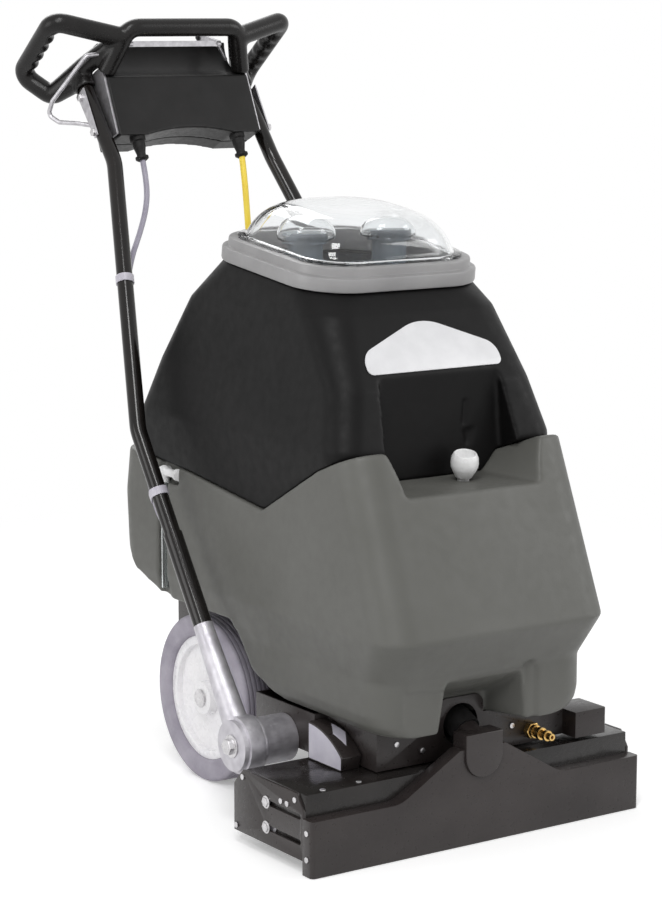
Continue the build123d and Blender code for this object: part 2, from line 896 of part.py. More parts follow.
# Bristle sleeve round the core, a soft solid
with BuildPart() as brush_bristles:
    with Locations(across((brush_left + brush_right) / 2, brush_y, brush_z)):
        Cylinder(brush_dia / 2, brush_right - brush_left - 2 * sheet)
        Cylinder(brush_core_dia / 2, brush_right - brush_left, mode=Mode.SUBTRACT)
keep(brush_bristles.part, "brush_bristles")

# Bearings of the roller, seated in the deck's end walls
with BuildPart() as brush_bearings:
    for side in (-1, 1):
        with Locations(across(side * (side_x - bearing_width / 2), brush_y, brush_z)):
            Cylinder(bearing_dia / 2, bearing_width)
            Cylinder(brush_shaft_dia / 2 + running_gap, bearing_width, mode=Mode.SUBTRACT)
keep(brush_bearings.part, "brush_bearings")

# Spray bar under the deck, with nozzles and two posts
spray_y = shoe_front + spray_bar_at
with BuildPart() as spray_bar:
    with Locations(across(0, spray_y, spray_bar_z)):
        Cylinder(spray_bar_dia / 2, nozzle_count * nozzle_pitch)
    with Locations((0, spray_y, spray_bar_z)):
        with GridLocations(nozzle_pitch, 1, nozzle_count, 1):
            Cylinder(nozzle_dia / 2, spray_bar_dia / 2 + nozzle_length, align=high_corner)
        with GridLocations(nozzle_pitch * (nozzle_count - 1) + nozzle_pitch / 2, 1, 2, 1):
            Cylinder(nozzle_dia / 2, deck_height - sheet - spray_bar_z, align=low_corner)
keep(spray_bar.part, "spray_bar")

# Vacuum motor on the chassis shelf: fan case, motor can and a side inlet
fan_y = shoe_front + fan_at
fan_floor = motor_shelf_z + sheet
with BuildPart() as vacuum_motor:
    with Locations((0, fan_y, fan_floor)):
        Cylinder(fan_dia / 2, fan_height, align=low_corner)
        Cylinder(fan_motor_dia / 2, fan_height + fan_motor_height, align=low_corner)
    with BuildSketch(Plane.XZ.offset(-fan_y)):
        with Locations((fan_dia / 4, suction_level)):
            Circle(hose_dia / 2 - hose_wall - slide_gap)
    extrude(amount=fan_dia / 2 + outlet_spigot)
keep(vacuum_motor.part, "vacuum_motor")

# Suction hose: down the second tunnel and back into the fan case
suction_hose = hose(
    [
        (pipe_x, pipe_y, hose_top),
        (pipe_x, pipe_y, suction_level),
        (fan_dia / 4, fan_y - fan_dia / 2 - hose_dia / 2 - outlet_spigot, suction_level),
        (fan_dia / 4, fan_y - fan_dia / 2 - seat_gap, suction_level),
    ],
    [suction_top_bend, suction_low_bend],
    hose_dia,
    hose_wall,
)
keep(suction_hose, "suction_hose")

# Solution pump on the tray's floor: a head and a motor beside it
pump_y = shoe_front + pump_at
with BuildPart() as solution_pump:
    with Locations((pump_x, pump_y, chassis_floor + sheet)):
        Box(pump_width, pump_length, pump_height, align=low_corner)
    motor_shift = pump_length / 2 + pump_motor_length / 2
    pump_motor_place = (pump_x, pump_y - motor_shift, chassis_floor + sheet + pump_height / 2)
    with Locations(Plane(pump_motor_place, z_dir=(0, 1, 0))):
        Cylinder(pump_motor_dia / 2, pump_motor_length)
keep(solution_pump.part, "solution_pump")

# Axle with shoulders against the chassis and a cap outside each wheel
wheel_inner_x = wheel_face_x - wheel_width
with BuildPart() as axle_shaft:
    with Locations(across(0, wheel_y, wheel_z)):
        Cylinder(axle_dia / 2 - slide_gap, 2 * (wheel_face_x + axle_cap))
    for side in (-1, 1):
        shoulder = wheel_inner_x - chassis_rear_half
        with Locations(across(side * (chassis_rear_half + shoulder / 2), wheel_y, wheel_z)):
            Cylinder(axle_cap_dia / 2, shoulder)
        with Locations(across(side * (wheel_face_x + axle_cap / 2), wheel_y, wheel_z)):
            Cylinder(axle_cap_dia / 2, axle_cap)
keep(axle_shaft.part, "axle_shaft")

# Wheels: a ribbed tyre on a disc hub
wheel_axis = Axis((0, wheel_y, wheel_z), x_axis)
wheel_plane = Plane.XZ.offset(-wheel_y)
groove_pitch = wheel_width / (tread_count + 1)
hub_dish = wheel_width - 4 * tread_groove - hub_web
for side, name in ((-1, "left"), (1, "right")):
    wheel_mid = side * (wheel_face_x - wheel_width / 2)
    with BuildPart() as tyre:
        with BuildSketch(wheel_plane):
            with Locations((wheel_mid, wheel_z + wheel_dia / 4 + wheel_hub_dia / 4)):
                RectangleRounded(wheel_width, wheel_dia / 2 - wheel_hub_dia / 2, 2 * tread_groove)
            with Locations((wheel_mid, wheel_z + wheel_dia / 2)):
                with GridLocations(groove_pitch, 1, tread_count, 1):
                    Rectangle(tread_groove / 2, 2 * tread_groove, mode=Mode.SUBTRACT)
        revolve(axis=wheel_axis)
    keep(tyre.part, f"{name}_tyre")
    with BuildPart() as wheel_hub:
        with Locations(across(wheel_mid, wheel_y, wheel_z)):
            Cylinder(wheel_hub_dia / 2, wheel_width - 4 * tread_groove)
        for face in (-1, 1):
            rim_x = wheel_mid + face * (wheel_width / 2 - 2 * tread_groove)
            with Locations(across(rim_x, wheel_y, wheel_z)):
                Cylinder(wheel_hub_dia / 2 - hub_web, hub_dish, mode=Mode.SUBTRACT)
        with Locations(across(wheel_mid, wheel_y, wheel_z)):
            Cylinder(hub_boss_dia / 2, wheel_width - 2 * seat_gap)
            Cylinder(axle_dia / 2 - slide_gap + running_gap, wheel_width, mode=Mode.SUBTRACT)
    keep(wheel_hub.part, f"{name}_wheel_hub")

# Handle pivots: a barrel on the chassis wall with a collar and a spigot that the socket turns on
eye_face = pivot_inner_x + pivot_eye_width
disc_face = eye_face + pivot_disc
for side, name in ((-1, "left"), (1, "right")):
    with BuildPart() as pivot_barrel:
        barrel_length = pivot_inner_x - chassis_mid_half
        with Locations(across(side * (chassis_mid_half + barrel_length / 2), pivot_y, pivot_z)):
            Cylinder(pivot_barrel_dia / 2, barrel_length)
        with Locations(across(side * (pivot_inner_x - pivot_collar / 2), pivot_y, pivot_z)):
            Cylinder(pivot_collar_dia / 2, pivot_collar)
        spigot = disc_face - pivot_inner_x
        with Locations(across(side * (pivot_inner_x + spigot / 2), pivot_y, pivot_z)):
            Cylinder(pivot_spigot_dia / 2, spigot)
    keep(pivot_barrel.part, f"{name}_pivot_barrel")

with BuildPart() as pivot_bolts:
    for side in (-1, 1):
        with BuildSketch(Plane.YZ.offset(side * disc_face)):
            with Locations((pivot_y, pivot_z)):
                Circle(pivot_washer_dia / 2)
        extrude(amount=side * pivot_washer)
        with BuildSketch(Plane.YZ.offset(side * (disc_face + pivot_washer))):
            with Locations((pivot_y, pivot_z)):
                RegularPolygon(pivot_bolt_flats / sqrt(3), 6)
        extrude(amount=side * pivot_bolt_head)
keep(pivot_bolts.part, "pivot_bolts")

# Cast sockets: an eye with an outer disc, a tapering arm and a spigot inside the sleeve
spigot_end = (socket_end + tube_start) / 2
for side, name in ((-1, "left"), (1, "right")):
    with BuildPart() as socket:
        with BuildSketch(tube_plane(side, 0)):
            Ellipse(disc_face - handle_half, socket_root_dia / 2)
        with BuildSketch(tube_plane(side, socket_end)):
            Circle(sleeve_dia / 2)
        loft()
        with BuildSketch(tube_plane(side, socket_end)):
            Circle(sleeve_dia / 2 - sleeve_wall - slide_gap)
        extrude(amount=spigot_end - socket_end)
        with Locations(across(side * (pivot_inner_x + pivot_eye_width / 2), pivot_y, pivot_z)):
            Cylinder(pivot_eye_dia / 2, pivot_eye_width)
        with Locations(across(side * (eye_face + pivot_disc / 2), pivot_y, pivot_z)):
            Cylinder(pivot_disc_dia / 2, pivot_disc)
        with Locations(across(side * (disc_face - pivot_spigot_dia), pivot_y, pivot_z)):
            Cylinder(pivot_spigot_dia / 2 + running_gap, 3 * pivot_spigot_dia, mode=Mode.SUBTRACT)
        with Locations(across(side * (pivot_inner_x - pivot_eye_width), pivot_y, pivot_z)):
            Cylinder(pivot_eye_dia, 2 * pivot_eye_width, mode=Mode.SUBTRACT)
    keep(socket.part, f"{name}_socket")

# Sleeves over the socket spigots and the lower ends of the tubes
with BuildPart() as handle_sleeves:
    for side in (-1, 1):
        with BuildSketch(tube_plane(side, socket_end)):
            Circle(sleeve_dia / 2)
            Circle(sleeve_dia / 2 - sleeve_wall, mode=Mode.SUBTRACT)
        extrude(amount=sleeve_end - socket_end)
keep(handle_sleeves.part, "handle_sleeves")

# Handle tubes: up from the sleeves, inwards and then beside the control box
upper_tilt = radians(upper_lean)
strap_inner = upper_half + tube_dia / 2 + seat_gap
bracket = upper_half - tube_dia / 2 - seat_gap - box_half


# A point on the upper run of a handle tube, measured up from its upper bend
def beside(x, distance):
    bend_y = shoe_front + upper_bend_at
    return Vector(x, bend_y + distance * sin(upper_tilt), upper_bend_z + distance * cos(upper_tilt))


# Where the bolts run across a tube beside the control box
def bolt_spots(side):
    spots = [beside(side * upper_half, distance) for distance in (strap_low_bolt, strap_high_bolt)]
    return [across(spot.X, spot.Y, spot.Z) for spot in spots]


bolt_bore = handle_bolt_dia / 2 + slide_gap


for side, name in ((-1, "left"), (1, "right")):
    with BuildPart() as handle_tube:
        add(hose(
            [
                along(side, tube_start),
                along(side, lower_bend),
                tuple(beside(side * upper_half, 0)),
                tuple(beside(side * upper_half, upper_length)),
            ],
            [tube_bend, tube_bend],
            tube_dia,
            tube_wall,
        ))
        with Locations(*bolt_spots(side)):
            Cylinder(bolt_bore, 2 * tube_dia, mode=Mode.SUBTRACT)
    keep(handle_tube.part, f"{name}_handle_tube")

# Control box: a front shell with a scooped brow and a rear shell with an apron, both leaning back
box_tilt = radians(box_lean)
box_up = Vector(0, sin(box_tilt), cos(box_tilt))
box_back = Vector(0, cos(box_tilt), -sin(box_tilt))
box_corner = Vector(0, shoe_front + box_at, box_z)
box_plane = Plane(box_corner, x_dir=x_axis, z_dir=-box_back)
box_depth = box_front_depth + box_rear_depth


# A place on the control box: across it, up its front face and back from that face
def on_box(x, up, back):
    return box_corner + Vector(x, 0, 0) + box_up * up + box_back * back


# Face outline of a shell: straight sides and an arched foot
def box_face(plane, half):
    sides = [(-half, 0), (-half, box_height), (half, box_height), (half, 0)]
    with BuildSketch(plane) as face:
        with BuildLine():
            Polyline((-box_arch_half, 0), *sides, (box_arch_half, 0))
            ThreePointArc((box_arch_half, 0), (0, box_arch), (-box_arch_half, 0))
        make_face()
    return face.sketch


ear_up = scoop_top + 2 * lever_pin_dia
ear_back = box_front_depth - 2 * lever_pin_dia
lever_pivot = on_box(0, ear_up, ear_back)
ear_length = ear_reach * lever_pin_dia
ear_root = on_box(0, ear_up - ear_length / 2, ear_back)
ear_inner = lever_arm + seat_gap
scoop_up = box_flat + sqrt(box_scoop_depth * (box_scoop_dia - box_scoop_depth))
scoop = on_box(0, scoop_up, box_scoop_depth - box_scoop_dia / 2)
with BuildPart() as control_box_front:
    extrude(box_face(box_plane, box_half), amount=-box_front_depth)
    with BuildSketch(box_plane):
        with Locations((0, (box_height + scoop_top) / 2)):
            Rectangle(2 * scoop_half, scoop_top - box_height)
    extrude(amount=-box_front_depth)
    with Locations(across(scoop.X, scoop.Y, scoop.Z)):
        Cylinder(box_scoop_dia / 2, 2 * box_half + 2, mode=Mode.SUBTRACT)
    with BuildSketch(box_plane.offset(-box_front_depth)):
        with Locations((0, (box_flat + box_arch) / 2)):
            Rectangle(2 * (box_half - box_wall), box_flat - box_arch - 2 * box_wall)
    extrude(amount=box_front_depth - box_wall, mode=Mode.SUBTRACT)
    for ear_x, way in ((lever_left + ear_inner, 1), (lever_right - ear_inner, -1)):
        with Locations(across(ear_x + way * box_wall / 2, lever_pivot.Y, lever_pivot.Z)):
            Cylinder(lever_pin_dia, box_wall)
        with Locations(across(ear_x + way * box_wall / 2, ear_root.Y, ear_root.Z)):
            Box(ear_length, lever_pin_dia, box_wall, rotation=(0, 0, 90 - box_lean))
        with Locations(across(ear_x - way * ear_inner / 2, lever_pivot.Y, lever_pivot.Z)):
            Cylinder(lever_pin_dia / 2, ear_inner)
keep(control_box_front.part, "control_box_front")

with BuildPart() as control_box_rear:
    split_plane = box_plane.offset(-box_front_depth)
    extrude(box_face(split_plane, box_half - seat_gap), amount=-box_rear_depth)
    with BuildSketch(box_plane.offset(-box_front_depth)):
        with Locations((0, (box_height + box_arch) / 2)):
            Rectangle(2 * (box_half - box_wall), box_height - box_arch - 2 * box_wall)
    extrude(amount=-(box_rear_depth - box_wall), mode=Mode.SUBTRACT)
    for x in (-rocker_x, rocker_x):
        pocket = on_box(x, box_height, box_front_depth + box_rear_depth / 2)
        pocket_length = rocker_length + 2 * rocker_gap
        with Locations(Plane(pocket, x_dir=x_axis, z_dir=box_up)):
            Box(rocker_width + 2 * seat_gap, pocket_length, 3 * box_wall, mode=Mode.SUBTRACT)
keep(control_box_rear.part, "control_box_rear")

# Rocker switches in the top of the rear shell
rocker_half = rocker_length / 2
for x, name in ((-rocker_x, "vacuum_switch"), (rocker_x, "pump_switch")):
    middle = on_box(x - rocker_width / 2, box_height, box_front_depth + box_rear_depth / 2)
    with BuildPart() as rocker:
        with BuildSketch(Plane(middle, x_dir=box_back, z_dir=x_axis)):
            with BuildLine():
                Polyline(
                    (-rocker_half, rocker_rise),
                    (0, rocker_rise / 3),
                    (rocker_half, rocker_rise),
                    (rocker_half - rocker_rise, -rocker_depth),
                    (rocker_rise - rocker_half, -rocker_depth),
                    close=True,
                )
            make_face()
        extrude(amount=rocker_width)
    keep(rocker.part, name)

# Brackets between the box and the tubes, and straps on the outside of the tubes
with BuildPart() as box_brackets:
    for side in (-1, 1):
        outline = [
            (bracket_margin, bracket_margin),
            (box_height - bracket_margin, bracket_margin),
            (box_height - bracket_margin, box_depth - bracket_margin),
            (box_height / 2, box_depth - bracket_cut),
            (bracket_margin, box_front_depth - bracket_margin),
        ]
        face = Plane(on_box(side * box_half, 0, 0), x_dir=box_back, z_dir=x_axis)
        with BuildSketch(face):
            with BuildLine():
                Polyline(*[(back, up) for up, back in outline], close=True)
            make_face()
        extrude(amount=side * bracket)
        with Locations(*bolt_spots(side)):
            Cylinder(bolt_bore, 2 * tube_dia, mode=Mode.SUBTRACT)
    for side in (-1, 1):
        foot = beside(side * strap_inner, strap_low_bolt)
        run = strap_high_bolt - strap_low_bolt
        with BuildSketch(Plane(foot, x_dir=(0, sin(upper_tilt), cos(upper_tilt)), z_dir=x_axis)):
            with BuildLine():
                Polyline(
                    (-strap_width / 2, strap_width / 3),
                    (-strap_width / 2, -strap_width / 3),
                    (run + strap_width / 2, -strap_width / 2),
                    (run + strap_width / 2, strap_width),
                    close=True,
                )
            make_face()
        extrude(amount=side * strap)
        with Locations(*bolt_spots(side)):
            Cylinder(bolt_bore, 2 * tube_dia, mode=Mode.SUBTRACT)
keep(box_brackets.part, "box_brackets")

with BuildPart() as handle_bolts:
    for side in (-1, 1):
        for distance in (strap_low_bolt, strap_high_bolt):
            spot = beside(0, distance)
            with BuildSketch(Plane.YZ.offset(side * box_half)):
                with Locations((spot.Y, spot.Z)):
                    Circle(handle_bolt_dia / 2)
            extrude(amount=side * (strap_inner + strap - box_half))
            with BuildSketch(Plane.YZ.offset(side * (strap_inner + strap))):
                with Locations((spot.Y, spot.Z)):
                    RegularPolygon(handle_bolt_flats / sqrt(3), 6)
            extrude(amount=side * handle_bolt_head)
keep(handle_bolts.part, "handle_bolts")


# A round bar along straight runs joined by arcs
def round_bar(points, bend, dia):
    with BuildPart() as bar:
        with BuildLine() as route:
            FilletPolyline(*points, radius=bend)
        with BuildSketch(Plane(route.line @ 0, z_dir=route.line % 0)):
            Circle(dia / 2)
        sweep()
    return bar.part


# Handle grip: a cross bar on the box and a D loop on each side, moulded in one piece
leg_foot = on_box(box_half - leg_in, box_flat + bar_dia / 3, bar_dia / 3)
bar_bend = Vector(bar_half, shoe_front + bar_at, bar_z)
neck = leg_foot + (bar_bend - leg_foot) * neck_share
loop_top = Vector(loop_half, shoe_front + loop_top_at, loop_top_z)
loop_rear = Vector(loop_half, shoe_front + loop_rear_at, loop_rear_z)
loop_foot = Vector(loop_foot_half, shoe_front + loop_foot_at, loop_foot_z)
loop_joint = beside(upper_half, upper_length - loop_sink)
clear_half = box_half + bracket + seat_gap
with BuildPart() as box_room:
    extrude(box_face(box_plane.offset(seat_gap), clear_half), amount=-(box_depth + 2 * seat_gap))
    with Locations(across(scoop.X, scoop.Y, scoop.Z)):
        Cylinder(box_scoop_dia / 2 - seat_gap, 2 * (box_half - seat_gap), mode=Mode.SUBTRACT)

with BuildPart() as handle_grip:
    bar = [(-leg_foot.X, leg_foot.Y, leg_foot.Z), (-bar_bend.X, bar_bend.Y, bar_bend.Z)]
    bar += [tuple(bar_bend), tuple(leg_foot)]
    add(round_bar(bar, bar_bend_radius, bar_dia))
    for side in (-1, 1):
        loop = [neck, loop_top, loop_rear, loop_foot, loop_joint]
        inner = [loop_foot, (loop_foot + neck) * 0.5 + loop_rise, neck]
        add(round_bar([(side * p.X, p.Y, p.Z) for p in loop], loop_bend_radius, grip_dia))
        add(round_bar([(side * p.X, p.Y, p.Z) for p in inner], inner_bend, grip_dia))
        cap = beside(side * upper_half, upper_length - grip_socket)
        with Locations(Plane(cap, z_dir=(0, sin(upper_tilt), cos(upper_tilt)))):
            Cylinder(tube_dia / 2 + grip_rim, grip_socket + box_wall, align=low_corner)
    for side in (-1, 1):
        cap = beside(side * upper_half, 0)
        with Locations(Plane(cap, z_dir=(0, sin(upper_tilt), cos(upper_tilt)))):
            tube_room = tube_dia / 2 + slide_gap
            Cylinder(tube_room, upper_length + slide_gap, align=low_corner, mode=Mode.SUBTRACT)
    add(box_room.part, mode=Mode.SUBTRACT)
keep(handle_grip.part, "handle_grip")

# Cord hook: a bent wire from the grip's left leg to the left tube
hook_points = [
    (-117, shoe_front + 738, 973),
    (-140, shoe_front + 741, 971),
    (-176, shoe_front + 776, 908),
    (-177, shoe_front + 787, 888),
    (-168, shoe_front + 772, 878),
    (-151, shoe_front + 753, 877),
    (-131, shoe_front + 733.5, 873.5),
]
hook_bends = [8, 12, 8, 8, 20]
keep(round_bar(hook_points, hook_bends, hook_dia), "cord_hook")

# Strain reliefs under the front shell
gland_profile = [
    (0, 0),
    (gland_dia / 2, 0),
    (gland_dia / 2, gland_length * 0.15),
    (gland_dia * 0.4, gland_length * 0.2),
    (gland_dia * 0.4, gland_length * 0.42),
    (gland_neck_dia / 2, gland_length * 0.7),
    (gland_neck_dia / 2, gland_length * 0.8),
    (gland_dia * 0.43, gland_length * 0.84),
    (gland_dia * 0.43, gland_length * 0.93),
    (gland_neck_dia / 2, gland_length),
    (0, gland_length),
]
with BuildPart() as strain_reliefs:
    for side in (-1, 1):
        base = on_box(side * gland_x, 0, gland_depth)
        with BuildSketch(Plane(base, x_dir=x_axis, z_dir=box_back)):
            with BuildLine():
                Polyline(*gland_profile, close=True)
            make_face()
        revolve(axis=Axis(tuple(base), tuple(box_up)))
keep(strain_reliefs.part, "strain_reliefs")


# A cord along hand-chosen points, with the largest arcs that its runs allow
def cord(name, points, dia):
    radii = cord_radii(points)
    print(name, "arc radii", [round(radius) for radius in radii])
    with BuildPart() as body:
        with BuildLine() as route:
            FilletPolyline(*points, radius=radii)
        with BuildSketch(Plane(route.line @ 0, z_dir=route.line % 0)):
            Circle(dia / 2)
        sweep()
    length = sum(edge.length for edge in route.edges())
    print(name, "volume over section times length", round(body.part.volume / (pi * dia**2 / 4 * length), 4))
    keep(body.part, name)


# Control lead: from its strain relief to the left tube, down behind it and into it above the sleeve
control_points = [
    tuple(on_box(-gland_x, -gland_length, gland_depth)),
    (-83, shoe_front + 674, 793),
    (-92, shoe_front + 662, 760),
    (-113, shoe_front + 645, 727),
    (-140, shoe_front + 622, 697),
    (-160, shoe_front + 600, 662),
    (-211.5, shoe_front + 489.5, 473),
    (-216, shoe_front + 437.5, 396),
    (-216, shoe_front + 425, 376),
    (-216, shoe_front + 413, 367),
]
cord("control_lead", control_points, lead_dia)

# Mains lead: a short pigtail that hangs behind the tanks and ends in a plug
mains_points = [
    tuple(on_box(gland_x, -gland_length, gland_depth)),
    (79, shoe_front + 675, 797),
    (77, shoe_front + 667, 762),
    (77, shoe_front + 661, 715),
    (80, shoe_front + 658, 660),
    (84, shoe_front + 658, 608),
    (86, shoe_front + 660, 560),
]
cord("power_lead", mains_points, mains_dia)

# Plug: a tapered body with three pins, in line with the lead's last run
plug_way = Vector(*mains_points[-1]) - Vector(*mains_points[-2])
plug_plane = Plane(mains_points[-1], x_dir=x_axis, z_dir=plug_way)
with BuildPart() as power_plug:
    with BuildSketch(plug_plane):
        Circle(mains_dia)
    with BuildSketch(plug_plane.offset(plug_length * 0.4)):
        Circle(plug_dia / 2)
    loft()
    with BuildSketch(plug_plane.offset(plug_length * 0.4)):
        Circle(plug_dia / 2)
    extrude(amount=plug_length * 0.6)
    with BuildSketch(plug_plane.offset(plug_length)):
        with Locations((0, plug_dia / 5), (-plug_dia / 5, -plug_dia / 6), (plug_dia / 5, -plug_dia / 6)):
            Circle(pin_dia / 2)
    extrude(amount=pin_length)
keep(power_plug.part, "power_plug")


# Clips that hold the control lead to the left tube: a band round both
def lead_clip(middle, way, lead_spot):
    base = Plane(middle - way * (clip_width / 2), x_dir=lead_spot - middle, z_dir=way)
    reach = (lead_spot - middle).length
    with BuildPart() as clip:
        for grow, mode in ((clip_thick, Mode.ADD), (0, Mode.SUBTRACT)):
            with BuildSketch(base):
                Circle(tube_dia / 2 + slide_gap + grow)
                with Locations((reach, 0)):
                    Circle(lead_dia / 2 + slide_gap + grow)
                make_hull()
            extrude(amount=clip_width, mode=mode)
    return clip.part


lower_way = Vector(0, sin(lean), cos(lean))
middle_way = (beside(-upper_half, 0) - Vector(*along(-1, lower_bend))).normalized()
with BuildPart() as lead_clips:
    for spot, foot, way in (
        (control_points[5], along(-1, lower_bend), middle_way),
        (control_points[7], along(-1, 0), lower_way),
    ):
        shift = way * (Vector(*spot) - Vector(*foot)).dot(way)
        add(lead_clip(Vector(*foot) + shift, way, Vector(*spot)))
keep(lead_clips.part, "lead_clips")

# Squeeze lever: a strip under the cross bar on two arms, with a chrome link at its right end
strip = Vector(0, shoe_front + lever_at, lever_z)
with BuildPart() as spray_lever:
    with Locations(((lever_left + lever_right) / 2, strip.Y, strip.Z)):
        Box(lever_right - lever_left, lever_thick, lever_height)
    for x in (lever_left, lever_right - lever_arm):
        with BuildSketch(Plane.YZ.offset(x)):
            with Locations((strip.Y, strip.Z)):
                Circle(lever_thick)
            with Locations((lever_pivot.Y, lever_pivot.Z)):
                Circle(lever_pin_dia)
            make_hull()
            with Locations((lever_pivot.Y, lever_pivot.Z)):
                Circle(lever_pin_dia / 2 + running_gap, mode=Mode.SUBTRACT)
        extrude(amount=lever_arm)
    link_foot = on_box(lever_right + 3.5 * link_dia, box_height + link_dia, link_dia)
    link_top = Vector(lever_right - link_dia, strip.Y, strip.Z)
    with BuildSketch(Plane(link_top, z_dir=link_foot - link_top)):
        Circle(link_dia / 2)
    extrude(amount=(link_foot - link_top).length)
keep(spray_lever.part, "spray_lever")


# A stack of rounded rectangles, lofted with straight flanks, that may end in a tilted cap
def lofted(levels, caps=()):
    sections = []
    for z, half, front_at, rear_at, corner in levels:
        with BuildSketch(Plane.XY.offset(z)) as section:
            with Locations((0, shoe_front + (front_at + rear_at) / 2)):
                RectangleRounded(2 * half, rear_at - front_at, corner)
        sections.append(section.sketch)
    with BuildPart() as body:
        loft([*sections, *caps], ruled=True)
    return body.part


# A prism across the machine over a side outline of (Y, Z) points
def side_prism(outline, half):
    with BuildPart() as prism:
        with BuildSketch(Plane.YZ):
            with BuildLine():
                Polyline(*outline, close=True)
            make_face()
        extrude(amount=half, both=True)
    return prism.part


# A four-sided section across the machine, wider or narrower at its top
def flared_section(at, low_z, low_half, high_z, high_half):
    with BuildSketch(Plane.XZ.offset(-shoe_front - at)) as section:
        with BuildLine():
            foot = [(-low_half, low_z), (low_half, low_z)]
            Polyline(*foot, (high_half, high_z), (-high_half, high_z), close=True)
        make_face()
    return section.sketch


# A section of the port notch in the tank's front, wider at its foot
def notch_section(at, left, right, top, taper):
    with BuildSketch(Plane.XZ.offset(-shoe_front - at)) as section:
        with BuildLine():
            Polyline(
                (-left, tank_bottom - sheet),
                (right, tank_bottom - sheet),
                (right - taper / 2, top),
                (-left + taper, top),
                close=True,
            )
        make_face()
    return section.sketch


# Outline of the shallow panel round the notch: its top edge steps up on the right
def front_panel():
    with BuildSketch(Plane.XZ.offset(-shoe_front - skirt_front_at)) as panel:
        with BuildLine():
            Polyline(
                (-panel_left, tank_bottom - sheet),
                (-panel_left, panel_low_top),
                (-notch_left + panel_step, panel_low_top - panel_step / 2),
                (-notch_left + 3 * panel_step, notch_top),
                (notch_right + panel_step, notch_top + panel_depth / 2),
                (notch_right + panel_step, tank_bottom - sheet),
                close=True,
            )
        make_face()
    return panel.sketch


# The trough's back, which the nose of the recovery tank fills behind it
def trough_back(shrink):
    low_half = trough_back_half - shrink
    high_half = trough_top_half - shrink
    return flared_section(recess_at, trough_floor + shrink, low_half, tank_top_z + shrink, high_half)


cut_half = tank_belly_half + cut_margin
cut_ends = (shoe_front + belly_front_at - cut_margin, shoe_front + tank_rear_at + cut_margin)
tunnel_dia = hose_dia + 2 * tunnel_gap
tunnel_spots = [(-pipe_x, pipe_y), (pipe_x, pipe_y)]
tank_rear_low = tank_rear_at - tank_rear_taper
bulge_share = (tank_bulge_z - belly_z) / (tank_top_z - belly_z)
bulge_half = tank_belly_half + bulge_share * (tank_top_half - tank_belly_half)
bulge_front = belly_front_at + bulge_share * (tank_top_front_at - belly_front_at)
edge_turns = [radians(turn) for turn in (0, 30, 60, 90)]
edge_levels = [
    (
        tank_bottom + tank_edge * (1 - cos(turn)),
        tank_skirt_half - tank_edge * (1 - sin(turn)),
        skirt_front_at,
        tank_rear_low,
        tank_corner,
    )
    for turn in edge_turns
]
tank_levels = [
    *edge_levels,
    (skirt_z, tank_skirt_half, skirt_front_at, tank_rear_low, tank_corner),
    (belly_z, tank_belly_half, belly_front_at, tank_rear_at, tank_corner),
    (tank_bulge_z, bulge_half, bulge_front, tank_rear_at + tank_bulge, tank_corner),
    (tank_top_z, tank_top_half, tank_top_front_at, tank_rear_low, tank_corner),
]
underside = [
    (belly_front_at - cut_margin, tank_bottom),
    (arch_front_at, tank_bottom),
    (arch_mid_at, arch_mid_z),
    (arch_at, arch_z),
    (tail_at, arch_z),
    (tail_rise_at, tail_rise_z),
    (tank_rear_at, tail_end_z),
    (tank_rear_at + cut_margin, tail_end_z),
    (tank_rear_at + cut_margin, 0),
    (belly_front_at - cut_margin, 0),
]
water_half = tank_belly_half - channel_depth - tank_wall
water_front = tank_top_front_at - 2 * tank_wall
water_corner = tank_corner - tank_wall
low_half = tank_skirt_half - tank_wall
low_front = port_at + sheet + 2 * tank_wall
water_skirt = skirt_front_at + 2 * tank_wall
low_rear = arch_at - 3 * tank_wall
low_water = [
    (water_low, low_half, low_front, arch_front_at + 5 * tank_wall, water_corner),
    (arch_z, low_half, low_front, low_rear, water_corner),
]
high_water = [
    (arch_z, low_half, water_skirt, low_rear, water_corner),
    (arch_z + 2 * tank_wall, water_half, water_skirt, tail_at, water_corner),
    (tail_end_z + 2 * tank_wall, water_half, water_skirt, tank_rear_low - tank_wall, water_corner),
    (water_high, water_half, water_front, tank_rear_low - 2 * tank_wall, water_corner),
]

# The stopper's axis: it leans out of the trough's floor towards the front
stopper_way = Vector(0, 0, 1).rotate(Axis.X, stopper_lean).rotate(Axis.Y, -stopper_turn)
floor_slope = trough_drop / (recess_at - trough_front_at)
stopper_foot = trough_floor - floor_slope * (recess_at - stopper_at)
stopper_plane = Plane((stopper_x, shoe_front + stopper_at, stopper_foot), z_dir=stopper_way)

